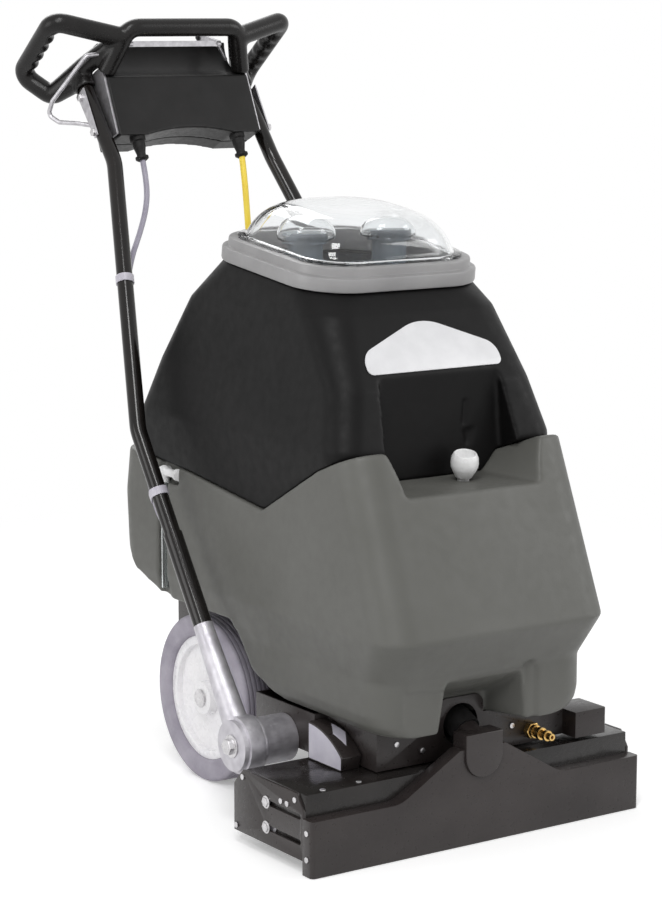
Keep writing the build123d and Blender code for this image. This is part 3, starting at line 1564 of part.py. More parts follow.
# Solution tank: the grey lower moulding, with hose tunnels, fill opening, trough and port notch
with BuildPart() as solution_tank:
    add(lofted(tank_levels))
    add(lofted(low_water), mode=Mode.SUBTRACT)
    add(lofted(high_water), mode=Mode.SUBTRACT)
    with Locations(*[(x, y, water_low) for x, y in tunnel_spots]):
        Cylinder(tunnel_dia / 2 + tunnel_wall, water_high + tank_wall - water_low, align=low_corner)
    add(side_prism([(shoe_front + y, z) for y, z in underside], cut_half), mode=Mode.SUBTRACT)
    over = [(y, tank_top_z + cut_margin) for y in cut_ends]
    add(side_prism(seam(0) + over, cut_half), mode=Mode.SUBTRACT)
    with Locations(*[(x, y, 0) for x, y in tunnel_spots]):
        Cylinder(tunnel_dia / 2, tank_top_z, align=low_corner, mode=Mode.SUBTRACT)
    fill_mid = shoe_front + (fill_front_at + fill_rear_at) / 2
    with Locations((0, fill_mid, water_high - tank_wall)):
        Box(2 * fill_half, fill_rear_at - fill_front_at, tank_top_z, align=low_corner, mode=Mode.SUBTRACT)
    front_floor = trough_floor - trough_drop
    mouth_halves = (trough_front_half, trough_top_half)
    trough_mouth = flared_section(trough_front_at, front_floor, mouth_halves[0], tank_top_z, mouth_halves[1])
    loft([trough_back(0), trough_mouth], ruled=True, mode=Mode.SUBTRACT)
    extrude(trough_back(0), amount=-nose_depth, mode=Mode.SUBTRACT)
    extrude(front_panel(), amount=panel_depth, both=True, mode=Mode.SUBTRACT)
    mouth_at = skirt_front_at - panel_depth
    notch_mouth = notch_section(mouth_at, notch_left, notch_right, notch_top, port_corner)
    throat_half = port_half + sheet
    notch_throat = notch_section(
        port_at + sheet + seat_gap, throat_half, throat_half, port_z + port_half + sheet, 0
    )
    loft([notch_mouth, notch_throat], ruled=True, mode=Mode.SUBTRACT)
    groove_rear = shoe_front + chassis_step_at
    with Locations((0, (port_y + groove_rear) / 2, tank_bottom)):
        Box(hose_dia + 4 * tunnel_gap, groove_rear - port_y, 2 * (hose_dia / 2 - sheet), mode=Mode.SUBTRACT)
    channel_floor = tank_belly_half - channel_depth
    with Locations((-channel_floor, shoe_front + channel_at, level_z + elbow_dia)):
        channel_corner = (Align.MAX, Align.CENTER, Align.MAX)
        Box(cut_half, channel_width, tank_top_z, align=channel_corner, mode=Mode.SUBTRACT)
    with Locations((-channel_floor, shoe_front + channel_at, level_z + elbow_dia)):
        run_corner = (Align.MAX, Align.MAX, Align.MAX)
        Box(cut_half, elbow_run, 2 * elbow_dia, align=run_corner, mode=Mode.SUBTRACT)
    with Locations(stopper_plane):
        Cylinder(stopper_stem_dia / 2 + seat_gap, 3 * stopper_stem, mode=Mode.SUBTRACT)
keep(solution_tank.part, "solution_tank")

# White elbow on the tank's left side and the clear level hose that hangs from it in its channel
elbow_x = -channel_floor - elbow_dia / 2 - level_wall
elbow_y = shoe_front + channel_at
with BuildPart() as level_elbow:
    with Locations(across(-channel_floor - elbow_dia / 2, elbow_y, level_z)):
        Cylinder(elbow_dia / 2, elbow_dia)
    with Locations((elbow_x, elbow_y, level_z)):
        Sphere(elbow_dia / 2 + level_wall)
        Cylinder(elbow_dia / 2, elbow_dia, align=(Align.CENTER, Align.CENTER, Align.MAX))
    with Locations(Plane((elbow_x, elbow_y - elbow_run, level_z), z_dir=(0, 1, 0))):
        Cylinder(elbow_dia / 2 - level_wall, elbow_run, align=low_corner)
        Cylinder(elbow_collar / 2, collar_width, align=low_corner)
    with Locations((-channel_floor, elbow_y, level_z)):
        wall_side = (Align.MIN, Align.CENTER, Align.CENTER)
        Box(elbow_dia, 2 * elbow_dia, 2 * elbow_dia, align=wall_side, mode=Mode.SUBTRACT)
keep(level_elbow.part, "level_elbow")

with BuildPart() as level_hose:
    with BuildSketch(Plane((elbow_x, elbow_y, arch_z + elbow_dia))):
        Circle(level_dia / 2)
        Circle(level_dia / 2 - level_wall, mode=Mode.SUBTRACT)
    extrude(amount=level_z - arch_z - 2 * elbow_dia)
keep(level_hose.part, "level_hose")

# White stopper in the trough: a cupped head on a tapered stem
stopper_lift = stopper_foot_dia / 2 * tan(radians(stopper_lean + stopper_turn))
with BuildPart() as tank_stopper:
    with BuildSketch(Plane(stopper_plane.origin, x_dir=stopper_plane.x_dir, z_dir=-stopper_plane.y_dir)):
        with BuildLine():
            Polyline(
                (0, -stopper_stem),
                (stopper_stem_dia / 2, -stopper_stem),
                (stopper_stem_dia / 2, stopper_lift),
                (stopper_foot_dia / 2, stopper_lift),
                (stopper_dia * 0.42, stopper_height * 0.35),
                (stopper_dia * 0.485, stopper_height * 0.5),
                (stopper_dia / 2, stopper_height * 0.64),
                (stopper_dia * 0.48, stopper_height * 0.84),
                (stopper_mouth_dia / 2, stopper_height),
                (stopper_cup_dia / 2, stopper_height),
                (stopper_cup_dia * 0.375, stopper_height * 0.7),
                (0, stopper_height * 0.6),
                close=True,
            )
        make_face()
    revolve(axis=Axis(tuple(stopper_plane.origin), tuple(stopper_way)))
keep(tank_stopper.part, "tank_stopper")

# Recovery tank: the black upper moulding, nested on the seam, with a recessed front and an open mouth
crown_corner = (recovery_corner + recovery_top_corner) / 2
foot_z = seam_low_z - recovery_wall
recovery_levels = [
    (foot_z, recovery_low_half, recovery_low_front_at, recovery_low_rear_at, recovery_corner),
    (shoulder_z, shoulder_half, shoulder_front_at, shoulder_rear_at, recovery_corner),
    (brow_z, brow_half, brow_front_at, brow_rear_at, recovery_corner),
    (crown_z, crown_half, crown_front_at, crown_rear_at, crown_corner),
]
cavity_front = recess_at + recovery_wall
wide_wall = 2 * recovery_wall
cavity_half = shoulder_half - wide_wall
cavity_rear = shoulder_rear_at - wide_wall
cavity_corner = recovery_corner - recovery_wall
cavity_levels = [
    (cavity_floor_z, cavity_half, seam_step_at + 6 * wide_wall, cavity_rear, cavity_corner),
    (seam_step_z + recovery_wall, cavity_half, seam_step_at + wide_wall, cavity_rear, cavity_corner),
    (shoulder_z, cavity_half, cavity_front, cavity_rear, cavity_corner),
    (brow_z, brow_half - recovery_wall, cavity_front, brow_rear_at - wide_wall, cavity_corner),
    (
        crown_z,
        crown_half - recovery_wall,
        crown_front_at + wide_wall,
        crown_rear_at - wide_wall,
        crown_corner - recovery_wall,
    ),
]
sump = [
    (seam_low_at - sump_lead, cavity_floor_z + sump_rise),
    (seam_low_at, seam_low_z + cavity_wall),
    (seam_knee_at, seam_knee_z + cavity_wall),
    (shoulder_rear_at - 5 * wide_wall, cavity_floor_z + sump_rise),
]
mouth_corner = ring_corner - mouth_margin / 2
crown_mid = shoe_front + (recovery_top_front_at + recovery_top_rear_at) / 2
crown_length = recovery_top_rear_at - recovery_top_front_at
crown_lean = radians(crown_tilt)
crown = Plane((0, crown_mid, recovery_top_z), x_dir=x_axis, z_dir=(0, -sin(crown_lean), cos(crown_lean)))


# A rounded rectangle over the tank's tilted top, larger or smaller than that top all round
def crown_section(lift, grow, corner):
    with BuildSketch(crown.offset(lift)) as section:
        RectangleRounded(2 * (recovery_top_half + grow), crown_length + 2 * grow, corner)
    return section.sketch


tank_cap = crown_section(0, 0, recovery_top_corner)
cavity_cap = crown_section(-recovery_wall, -wide_wall, recovery_top_corner - wide_wall)
with BuildPart() as recovery_tank:
    add(lofted(recovery_levels, [tank_cap]))
    recess_low = recess_half + recess_flare
    recess_back = flared_section(recess_at, seam_low_z, recess_low, tank_top_z, recess_half)
    recess_high = recess_half - recess_taper
    recess_lip = flared_section(recess_lip_at, seam_low_z, recess_low, recess_top_z, recess_high)
    loft([recess_back, recess_lip], ruled=True, mode=Mode.SUBTRACT)
    extrude(recess_lip, amount=tank_rear_at, mode=Mode.SUBTRACT)
    under = [(y, 0) for y in cut_ends]
    add(side_prism(seam(seat_gap) + under, cut_half), mode=Mode.SUBTRACT)
    extrude(trough_back(seat_gap), amount=-(nose_depth - seat_gap))
    add(lofted(cavity_levels, [cavity_cap]), mode=Mode.SUBTRACT)
    sump_half = shoulder_half - wide_wall - recovery_corner / 2
    add(side_prism([(shoe_front + y, z) for y, z in sump], sump_half), mode=Mode.SUBTRACT)
    extrude(crown_section(0, -mouth_margin, mouth_corner), amount=-wide_wall, mode=Mode.SUBTRACT)
    with Locations(*[(x, y, 0) for x, y in tunnel_spots]):
        Cylinder(pipe_dia / 2 + slide_gap, cavity_floor_z + wide_wall, align=low_corner, mode=Mode.SUBTRACT)
keep(recovery_tank.part, "recovery_tank")

# Bare badge plate on the sloping front
badge_rise = Vector(0, crown_front_at - brow_front_at, crown_z - brow_z).normalized()
badge_y = brow_front_at + (badge_z - brow_z) * badge_rise.Y / badge_rise.Z
badge_plane = Plane(
    (0, shoe_front + badge_y, badge_z), x_dir=x_axis, z_dir=Vector(*x_axis).cross(badge_rise)
)
with BuildPart() as badge_plate:
    with BuildSketch(badge_plane) as badge_face:
        with BuildLine():
            left_shoulder = (-badge_foot_half, badge_foot - badge_height / 2)
            right_shoulder = (badge_foot_half, badge_foot - badge_height / 2)
            left_foot = (-badge_foot_half, -badge_height / 2)
            right_foot = (badge_foot_half, -badge_height / 2)
            tip = (0, badge_height / 2)
            Polyline(left_foot, right_foot, right_shoulder, tip, left_shoulder, close=True)
        make_face()
        fillet(badge_face.vertices().group_by(Axis.Y)[2], badge_tip)
        fillet(badge_face.vertices().group_by(Axis.Y)[1], badge_shoulder)
        fillet(badge_face.vertices().group_by(Axis.Y)[0], badge_corner)
    extrude(amount=badge_thick)
keep(badge_plate.part, "badge_plate")

# Standpipes in the recovery tank, each with a hood under the dome; the suction pipe carries a float cage
pipe_foot = seam_height(pipe_at) + cavity_wall / 2
cage_y = pipe_y + float_reach
cage_radius = float_dia / 2 + float_gap
cage_hole = cage_radius - float_gap - cage_bar_dia
float_seat = float_z + cage_bar_dia + sqrt((float_dia / 2) ** 2 - cage_hole**2) + seat_gap
cage_height = float_dia + float_rise + 2 * cage_bar_dia
for x, name in ((-pipe_x, "inlet_standpipe"), (pipe_x, "suction_standpipe")):
    with BuildPart() as standpipe:
        with Locations((x, pipe_y, pipe_foot)):
            Cylinder(pipe_dia / 2, pipe_top_z - pipe_foot, align=low_corner)
        with Locations((x, pipe_y, pipe_top_z)):
            Cylinder(pipe_dia / 2 + 2 * pipe_wall, hood_height, align=low_corner)
            hood_room = hood_height - pipe_wall
            Cylinder(pipe_dia / 2 + pipe_wall, hood_room, align=low_corner, mode=Mode.SUBTRACT)
            Box(2 * pipe_dia, pipe_dia, hood_room, align=rear_corner, mode=Mode.SUBTRACT)
            Cylinder(pipe_dia / 2 + 2 * pipe_wall, pipe_wall, align=low_corner)
        fillet(standpipe.faces().sort_by(Axis.Z)[-1].edges(), hood_round)
        with Locations((x, pipe_y, pipe_foot)):
            Cylinder(pipe_dia / 2 - pipe_wall, pipe_top_z - pipe_foot + pipe_wall, align=low_corner,
                     mode=Mode.SUBTRACT)
        if x > 0:
            for z in (float_z, float_z + cage_height - cage_bar_dia):
                with Locations((x, cage_y, z)):
                    Cylinder(cage_radius + cage_bar_dia + cage_rim, cage_bar_dia, align=low_corner)
                    Cylinder(cage_hole, cage_bar_dia, align=low_corner, mode=Mode.SUBTRACT)
                arm = float_reach - pipe_dia / 2 - cage_radius
                with Locations((x, pipe_y + pipe_dia / 2 - pipe_wall, z)):
                    Box(pipe_dia / 3, arm + pipe_wall, cage_bar_dia, align=rear_corner)
            with Locations((x, cage_y, float_z)):
                with PolarLocations(cage_radius + cage_bar_dia / 2, 4, start_angle=45):
                    Cylinder(cage_bar_dia / 2, cage_height, align=low_corner)
    keep(standpipe.part, name)

with BuildPart() as float_ball:
    with Locations((pipe_x, cage_y, float_seat)):
        Sphere(float_dia / 2)
keep(float_ball.part, "float_ball")

# Dome frame: a stepped ring round the tank's mouth
with BuildPart() as dome_frame:
    extrude(crown_section(0, ring_proud, ring_corner + ring_proud), amount=ring_height - ring_step)
    ring_inset = ring_proud - ring_step_in
    extrude(crown_section(ring_height - ring_step, ring_inset, ring_corner + ring_inset), amount=ring_step)
    extrude(crown_section(0, -mouth_margin, mouth_corner), amount=ring_height, mode=Mode.SUBTRACT)
keep(dome_frame.part, "dome_frame")

# Clear dome: a rounded cover with a flat crown and a flange that rests on the frame
dome_steps = [(0, 0), (0.32, 5), (0.6, 16), (0.84, 34), (1, 56)]


def dome_skin(inset):
    sections = []
    for share, draw in dome_steps:
        lift = ring_height + share * (dome_height - inset)
        spread = dome_wall - inset
        sections.append(crown_section(lift, spread - mouth_margin - draw, mouth_corner + spread))
    with BuildPart() as skin:
        loft(sections)
    return skin.part


with BuildPart() as recovery_dome:
    add(dome_skin(0))
    rim = crown_section(ring_height, dome_rim - mouth_margin, mouth_corner + dome_rim)
    extrude(rim, amount=dome_flange)
    add(dome_skin(dome_wall), mode=Mode.SUBTRACT)
keep(recovery_dome.part, "recovery_dome")
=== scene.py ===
import json
import math
import random

import bmesh
import bpy
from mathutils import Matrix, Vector

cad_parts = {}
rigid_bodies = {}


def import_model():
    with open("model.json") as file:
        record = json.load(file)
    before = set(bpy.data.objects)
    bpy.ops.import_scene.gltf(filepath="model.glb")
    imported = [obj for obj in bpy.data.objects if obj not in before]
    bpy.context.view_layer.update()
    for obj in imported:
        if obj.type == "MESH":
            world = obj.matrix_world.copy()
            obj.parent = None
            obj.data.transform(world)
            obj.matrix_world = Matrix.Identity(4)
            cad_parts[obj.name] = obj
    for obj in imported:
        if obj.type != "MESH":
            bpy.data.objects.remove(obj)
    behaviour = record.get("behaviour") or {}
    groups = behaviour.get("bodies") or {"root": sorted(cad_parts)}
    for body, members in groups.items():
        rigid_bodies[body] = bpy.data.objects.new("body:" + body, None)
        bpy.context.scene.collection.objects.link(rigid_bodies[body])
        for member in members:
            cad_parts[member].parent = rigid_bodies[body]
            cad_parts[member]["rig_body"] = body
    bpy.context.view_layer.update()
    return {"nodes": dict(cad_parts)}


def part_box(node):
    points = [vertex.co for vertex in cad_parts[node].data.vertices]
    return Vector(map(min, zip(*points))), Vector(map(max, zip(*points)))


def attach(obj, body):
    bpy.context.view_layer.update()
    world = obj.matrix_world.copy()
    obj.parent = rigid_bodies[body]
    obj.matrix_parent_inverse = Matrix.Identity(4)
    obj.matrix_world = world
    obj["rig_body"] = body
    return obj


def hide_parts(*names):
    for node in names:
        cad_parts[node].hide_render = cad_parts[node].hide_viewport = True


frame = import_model()
nodes = frame["nodes"]
scene = bpy.context.scene
print("frame loaded, nodes:", len(nodes))


# Camera, floor and light

viewer = {"place": (-1.930, -2.8957, 1.0287), "turn": 34.27, "down": 9.52, "lens": 104.0, "sensor": 36.0}
studio = {
    "white": (0.93, 0.93, 0.93),
    "sky": 0.42,
    "lamps": {
        "keySoftbox": {"place": (-2.6, -2.6, 2.9), "size": 1.1, "power": 44.0},
        "fillSoftbox": {"place": (2.6, -2.0, 1.9), "size": 1.5, "power": 28.0},
        "sideSoftbox": {"place": (-3.2, 0.3, 1.2), "size": 1.5, "power": 18.0},
        "topSoftbox": {"place": (-1.5, -1.9, 3.9), "size": 1.0, "power": 40.0},
        "backSoftbox": {"place": (0.5, 2.6, 2.6), "size": 1.8, "power": 30.0},
    },
    "aim": (0.0, 0.0, 0.45),
    "floorHalf": 14.0,
    "floorDrop": 0.0006,  # the floor lies just under the object
    "floorRough": 0.9,
    "nearGlow": 0.30,
    "fade": (0.75, 1.9),
}


def addCamera():
    lensData = bpy.data.cameras.new("viewer")
    lensData.sensor_fit = "VERTICAL"
    lensData.sensor_height = viewer["sensor"]
    lensData.sensor_width = viewer["sensor"]
    lensData.lens = viewer["lens"]
    camera = bpy.data.objects.new("viewer", lensData)
    camera.location = viewer["place"]
    camera.rotation_euler = (math.radians(90 - viewer["down"]), 0, -math.radians(viewer["turn"]))
    scene.collection.objects.link(camera)
    scene.camera = camera


def addLamps():
    for lampName, lamp in studio["lamps"].items():
        lampData = bpy.data.lights.new(lampName, "AREA")
        lampData.shape = "SQUARE"
        lampData.size = lamp["size"]
        lampData.energy = lamp["power"]
        lampObject = bpy.data.objects.new(lampName, lampData)
        lampObject.location = lamp["place"]
        aim = Vector(studio["aim"]) - Vector(lamp["place"])
        lampObject.rotation_euler = aim.to_track_quat("-Z", "Y").to_euler()
        scene.collection.objects.link(lampObject)


def mathNode(tree, operation, first, second):
    sums = tree.nodes.new("ShaderNodeMath")
    sums.operation = operation
    for socket, source in zip(sums.inputs, (first, second)):
        if isinstance(source, float):
            socket.default_value = source
        else:
            tree.links.new(source, socket)
    return sums.outputs[0]


def rangeNode(tree, value, fromRange, toRange=(0.0, 1.0), blend="LINEAR"):
    spread = tree.nodes.new("ShaderNodeMapRange")
    spread.interpolation_type = blend
    spread.inputs["From Min"].default_value, spread.inputs["From Max"].default_value = fromRange
    spread.inputs["To Min"].default_value, spread.inputs["To Max"].default_value = toRange
    tree.links.new(value, spread.inputs["Value"])
    return spread.outputs[0]


def seesBackdrop(tree):
    # 1 for what the camera, a mirror or clear plastic sees, 0 for what only lights the object
    path = tree.nodes.new("ShaderNodeLightPath")
    seen = path.outputs["Is Camera Ray"]
    for kind in ("Is Glossy Ray", "Is Transmission Ray"):
        seen = mathNode(tree, "MAXIMUM", seen, path.outputs[kind])
    return seen


def addSky():
    world = bpy.data.worlds.new("studioSky")
    scene.world = world
    world.use_nodes = True
    tree = world.node_tree
    sky = tree.nodes["Background"]
    sky.inputs["Color"].default_value = (1, 1, 1, 1)
    strength = rangeNode(tree, seesBackdrop(tree), (0.0, 1.0), (studio["sky"], 1.0))
    tree.links.new(strength, sky.inputs["Strength"])


def makeFloorPaint():
    paint = bpy.data.materials.new("studioFloor")
    paint.use_nodes = True
    tree = paint.node_tree
    shader = tree.nodes["Principled BSDF"]
    shader.inputs["Base Color"].default_value = (*studio["white"], 1)
    shader.inputs["Roughness"].default_value = studio["floorRough"]
    shader.inputs["Specular IOR Level"].default_value = 0.0
    shader.inputs["Emission Color"].default_value = (1, 1, 1, 1)
    seen = seesBackdrop(tree)
    glow = mathNode(tree, "MULTIPLY", seen, studio["nearGlow"])
    tree.links.new(glow, shader.inputs["Emission Strength"])
    # white sweep: the floor turns plain white away from the object
    spot = tree.nodes.new("ShaderNodeTexCoord")
    away = tree.nodes.new("ShaderNodeVectorMath")
    away.operation = "LENGTH"
    tree.links.new(spot.outputs["Object"], away.inputs[0])
    fade = rangeNode(tree, away.outputs["Value"], studio["fade"], blend="SMOOTHSTEP")
    white = tree.nodes.new("ShaderNodeEmission")
    sweep = tree.nodes.new("ShaderNodeMixShader")
    tree.links.new(mathNode(tree, "MULTIPLY", seen, fade), sweep.inputs[0])
    tree.links.new(shader.outputs[0], sweep.inputs[1])
    tree.links.new(white.outputs[0], sweep.inputs[2])
    tree.links.new(sweep.outputs[0], tree.nodes["Material Output"].inputs["Surface"])
    return paint


def addFloor():
    half = studio["floorHalf"]
    corners = [(-half, -half, 0), (half, -half, 0), (half, half, 0), (-half, half, 0)]
    mesh = bpy.data.meshes.new("studioFloor")
    mesh.from_pydata(corners, [], [(0, 1, 2, 3)])
    mesh.materials.append(makeFloorPaint())
    floor = bpy.data.objects.new("studioFloor", mesh)
    floor.location.z = -studio["floorDrop"]
    scene.collection.objects.link(floor)


scene.view_settings.view_transform = "Standard"
addCamera()
addLamps()
addSky()
addFloor()
print("studio ready")


# Finishes

finishes = {
    "powderCoat": {
        "color": (0.022, 0.0175, 0.017), "second": (0.034, 0.028, 0.027), "patch": 9,
        "rough": (0.26, 0.38), "shine": 0.4, "grain": 900, "bump": 0.05, "peel": 160, "peelBump": 0.10,
    },
    "deckCoat": {
        "color": (0.010, 0.0085, 0.008), "second": (0.020, 0.017, 0.016), "patch": 12,
        "rough": (0.16, 0.28), "shine": 0.4, "grain": 700, "bump": 0.05, "peel": 120, "peelBump": 0.14,
    },
    "tankGrey": {
        "color": (0.095, 0.095, 0.086), "second": (0.111, 0.111, 0.102), "patch": 7,
        "rough": (0.42, 0.54), "shine": 0.4, "grain": 1100, "bump": 0.12, "peel": 70, "peelBump": 0.05,
    },
    "tankBlack": {
        "color": (0.0030, 0.0029, 0.0030), "second": (0.0055, 0.0052, 0.0053), "patch": 8,
        "rough": (0.40, 0.52), "shine": 0.14, "grain": 1100, "bump": 0.14, "peel": 70, "peelBump": 0.05,
    },
    "ringGrey": {
        "color": (0.25, 0.246, 0.248), "second": (0.295, 0.291, 0.293), "patch": 14,
        "rough": (0.32, 0.45), "grain": 1300, "bump": 0.06, "peel": 90, "peelBump": 0.03,
    },
    "castAluminium": {
        "color": (0.45, 0.435, 0.47), "second": (0.60, 0.585, 0.62), "patch": 60,
        "rough": (0.34, 0.55), "metal": 0.6, "grain": 1000, "bump": 0.20, "peel": 240, "peelBump": 0.10,
    },
    "zincSteel": {
        "color": (0.52, 0.51, 0.52), "second": (0.66, 0.65, 0.66), "patch": 180,
        "rough": (0.24, 0.40), "metal": 1.0, "grain": 1500, "bump": 0.06, "peel": 300, "peelBump": 0.04,
    },
    "dullSteel": {
        "color": (0.42, 0.41, 0.43), "second": (0.56, 0.55, 0.57), "patch": 140,
        "rough": (0.30, 0.48), "metal": 0.9, "grain": 1400, "bump": 0.08, "peel": 300, "peelBump": 0.05,
    },
    "brass": {
        "color": (0.56, 0.36, 0.12), "second": (0.72, 0.49, 0.19), "patch": 150,
        "rough": (0.18, 0.32), "metal": 1.0, "grain": 1600, "bump": 0.05, "peel": 500, "peelBump": 0.03,
    },
    "tyreRubber": {
        "color": (0.285, 0.265, 0.315), "second": (0.38, 0.355, 0.41), "patch": 26,
        "rough": (0.55, 0.75), "grain": 1200, "bump": 0.14, "peel": 200, "peelBump": 0.06,
    },
    "hubWhite": {
        "color": (0.85, 0.84, 0.86), "second": (0.90, 0.89, 0.90), "patch": 22,
        "rough": (0.22, 0.36), "grain": 1200, "bump": 0.04, "peel": 110, "peelBump": 0.03,
    },
    "handleGloss": {
        "color": (0.005, 0.004, 0.0036), "second": (0.010, 0.008, 0.007), "patch": 30,
        "rough": (0.10, 0.17), "shine": 0.20, "grain": 800, "bump": 0.03, "peel": 220, "peelBump": 0.05,
        "coat": 0.25,
    },
    "gripBlack": {
        "color": (0.0055, 0.0050, 0.0048), "second": (0.010, 0.009, 0.0088), "patch": 40,
        "rough": (0.24, 0.34), "shine": 0.28, "grain": 1500, "bump": 0.10, "peel": 300, "peelBump": 0.05,
    },
    "boxBlack": {
        "color": (0.0075, 0.0072, 0.0072), "second": (0.013, 0.0125, 0.0125), "patch": 20,
        "rough": (0.32, 0.44), "shine": 0.22, "grain": 1600, "bump": 0.16, "peel": 150, "peelBump": 0.03,
    },
    "rubberBlack": {
        "color": (0.008, 0.0076, 0.0076), "second": (0.016, 0.0155, 0.0155), "patch": 50,
        "rough": (0.48, 0.66), "shine": 0.22, "grain": 1400, "bump": 0.12, "peel": 300, "peelBump": 0.05,
    },
    "leadGrey": {
        "color": (0.30, 0.28, 0.35), "second": (0.38, 0.36, 0.43), "patch": 40,
        "rough": (0.40, 0.52), "grain": 1800, "bump": 0.06, "peel": 300, "peelBump": 0.03,
    },
    "leadYellow": {
        "color": (0.88, 0.64, 0.045), "second": (0.93, 0.72, 0.08), "patch": 40,
        "rough": (0.36, 0.48), "grain": 1800, "bump": 0.05, "peel": 300, "peelBump": 0.03,
    },
    "clipGrey": {
        "color": (0.46, 0.44, 0.50), "second": (0.56, 0.54, 0.60), "patch": 60,
        "rough": (0.32, 0.46), "grain": 1600, "bump": 0.06, "peel": 300, "peelBump": 0.03,
    },
    "whitePlastic": {
        "color": (0.78, 0.78, 0.78), "second": (0.86, 0.86, 0.86), "patch": 50,
        "rough": (0.24, 0.36), "grain": 1600, "bump": 0.05, "peel": 200, "peelBump": 0.03,
    },
    "badgeGrey": {
        "color": (0.70, 0.70, 0.715), "second": (0.76, 0.76, 0.775), "patch": 30,
        "rough": (0.30, 0.40), "grain": 1800, "bump": 0.03, "peel": 100, "peelBump": 0.02,
    },
    "labelLilac": {
        "color": (0.56, 0.54, 0.62), "second": (0.64, 0.62, 0.69), "patch": 40,
        "rough": (0.34, 0.46), "grain": 1800, "bump": 0.03, "peel": 100, "peelBump": 0.02,
    },
    # grey pipes tinted blue-grey: a painted reflection of the sky seen through the dome
    "pipePaintedReflection": {
        "color": (0.115, 0.145, 0.175), "second": (0.160, 0.190, 0.220), "patch": 25,
        "rough": (0.28, 0.42), "grain": 1200, "bump": 0.05, "peel": 120, "peelBump": 0.04,
    },
    "motorDark": {
        "color": (0.05, 0.05, 0.052), "second": (0.08, 0.08, 0.082), "patch": 30,
        "rough": (0.38, 0.52), "metal": 0.4, "grain": 1000, "bump": 0.10, "peel": 200, "peelBump": 0.06,
    },
    # blue-grey painted reflection of the sky on the tank's dark inside
    "tankInside": {
        "color": (0.085, 0.112, 0.138), "second": (0.125, 0.155, 0.182), "patch": 12,
        "rough": (0.16, 0.28), "grain": 1000, "bump": 0.05, "peel": 60, "peelBump": 0.06,
    },
    "bristleGrey": {
        "color": (0.05, 0.05, 0.055), "second": (0.085, 0.085, 0.09), "patch": 200,
        "rough": (0.45, 0.60), "grain": 2000, "bump": 0.05, "peel": 400, "peelBump": 0.03,
    },
}
clearLooks = {
    "domeClear": {"tint": (0.97, 0.98, 0.985), "rough": 0.03, "ior": 1.42, "haze": 60, "hazeBump": 0.02},
    "hoseClear": {"tint": (0.90, 0.93, 0.94), "rough": 0.12, "ior": 1.35, "haze": 200, "hazeBump": 0.04},
}
surfaceDials = {  # shared by all finishes, bump depths in metres
    "noiseRough": 0.55, "patchRange": (0.35, 0.65), "peelRange": (0.3, 0.7), "coatRough": 0.08,
    "peelDepth": 0.002, "grainDepth": 0.0006, "hazeDepth": 0.001,
}
paints = {}


def noiseNode(tree, spot, scale, detail):
    noise = tree.nodes.new("ShaderNodeTexNoise")
    noise.inputs["Scale"].default_value = scale
    noise.inputs["Detail"].default_value = detail
    noise.inputs["Roughness"].default_value = surfaceDials["noiseRough"]
    tree.links.new(spot.outputs["Object"], noise.inputs["Vector"])
    return noise


def bumpNode(tree, height, strength, depth, below=None):
    bump = tree.nodes.new("ShaderNodeBump")
    bump.inputs["Strength"].default_value = strength
    bump.inputs["Distance"].default_value = depth
    tree.links.new(height, bump.inputs["Height"])
    if below:
        tree.links.new(below.outputs["Normal"], bump.inputs["Normal"])
    return bump


def makeFinish(finishName, look):
    paint = bpy.data.materials.new(finishName)
    paint.use_nodes = True
    tree = paint.node_tree
    shader = tree.nodes["Principled BSDF"]
    spot = tree.nodes.new("ShaderNodeTexCoord")
    patch = noiseNode(tree, spot, look["patch"], detail=5)
    grain = noiseNode(tree, spot, look["grain"], detail=2)
    peel = noiseNode(tree, spot, look["peel"], detail=2)
    mix = tree.nodes.new("ShaderNodeMix")
    mix.data_type = "RGBA"
    firstColor, secondColor = mix.inputs[6:8]
    firstColor.default_value = (*look["color"], 1)
    secondColor.default_value = (*look["second"], 1)
    tree.links.new(rangeNode(tree, patch.outputs["Fac"], surfaceDials["patchRange"]), mix.inputs[0])
    tree.links.new(mix.outputs[2], shader.inputs["Base Color"])
    rough = rangeNode(tree, peel.outputs["Fac"], surfaceDials["peelRange"], look["rough"])
    tree.links.new(rough, shader.inputs["Roughness"])
    soft = bumpNode(tree, peel.outputs["Fac"], look["peelBump"], surfaceDials["peelDepth"])
    fine = bumpNode(tree, grain.outputs["Fac"], look["bump"], surfaceDials["grainDepth"], soft)
    tree.links.new(fine.outputs["Normal"], shader.inputs["Normal"])
    shader.inputs["Metallic"].default_value = look.get("metal", 0.0)
    shader.inputs["Specular IOR Level"].default_value = look.get("shine", 0.5)
    if "coat" in look:
        shader.inputs["Coat Weight"].default_value = look["coat"]
        shader.inputs["Coat Roughness"].default_value = surfaceDials["coatRough"]
    paint.diffuse_color = (*look["color"], 1)
    return paint


def makeClear(finishName, look):
    paint = bpy.data.materials.new(finishName)
    paint.use_nodes = True
    tree = paint.node_tree
    shader = tree.nodes["Principled BSDF"]
    shader.inputs["Base Color"].default_value = (*look["tint"], 1)
    shader.inputs["Roughness"].default_value = look["rough"]
    shader.inputs["IOR"].default_value = look["ior"]
    shader.inputs["Transmission Weight"].default_value = 1.0
    spot = tree.nodes.new("ShaderNodeTexCoord")
    haze = noiseNode(tree, spot, look["haze"], detail=2)
    bump = bumpNode(tree, haze.outputs["Fac"], look["hazeBump"], surfaceDials["hazeDepth"])
    tree.links.new(bump.outputs["Normal"], shader.inputs["Normal"])
    return paint


for finishName, look in finishes.items():
    paints[finishName] = makeFinish(finishName, look)
for finishName, look in clearLooks.items():
    paints[finishName] = makeClear(finishName, look)
print("finishes:", len(paints))


# Shared ways of making a piece

weldReach = 1e-6
softDials = {"smooth": 0.5, "shade": 60}  # moulded pieces, angle in degrees
easeDials = {"flat": 0.6, "sharp": 38, "segments": 2, "shade": 42}  # pressed and machined ones, angles too


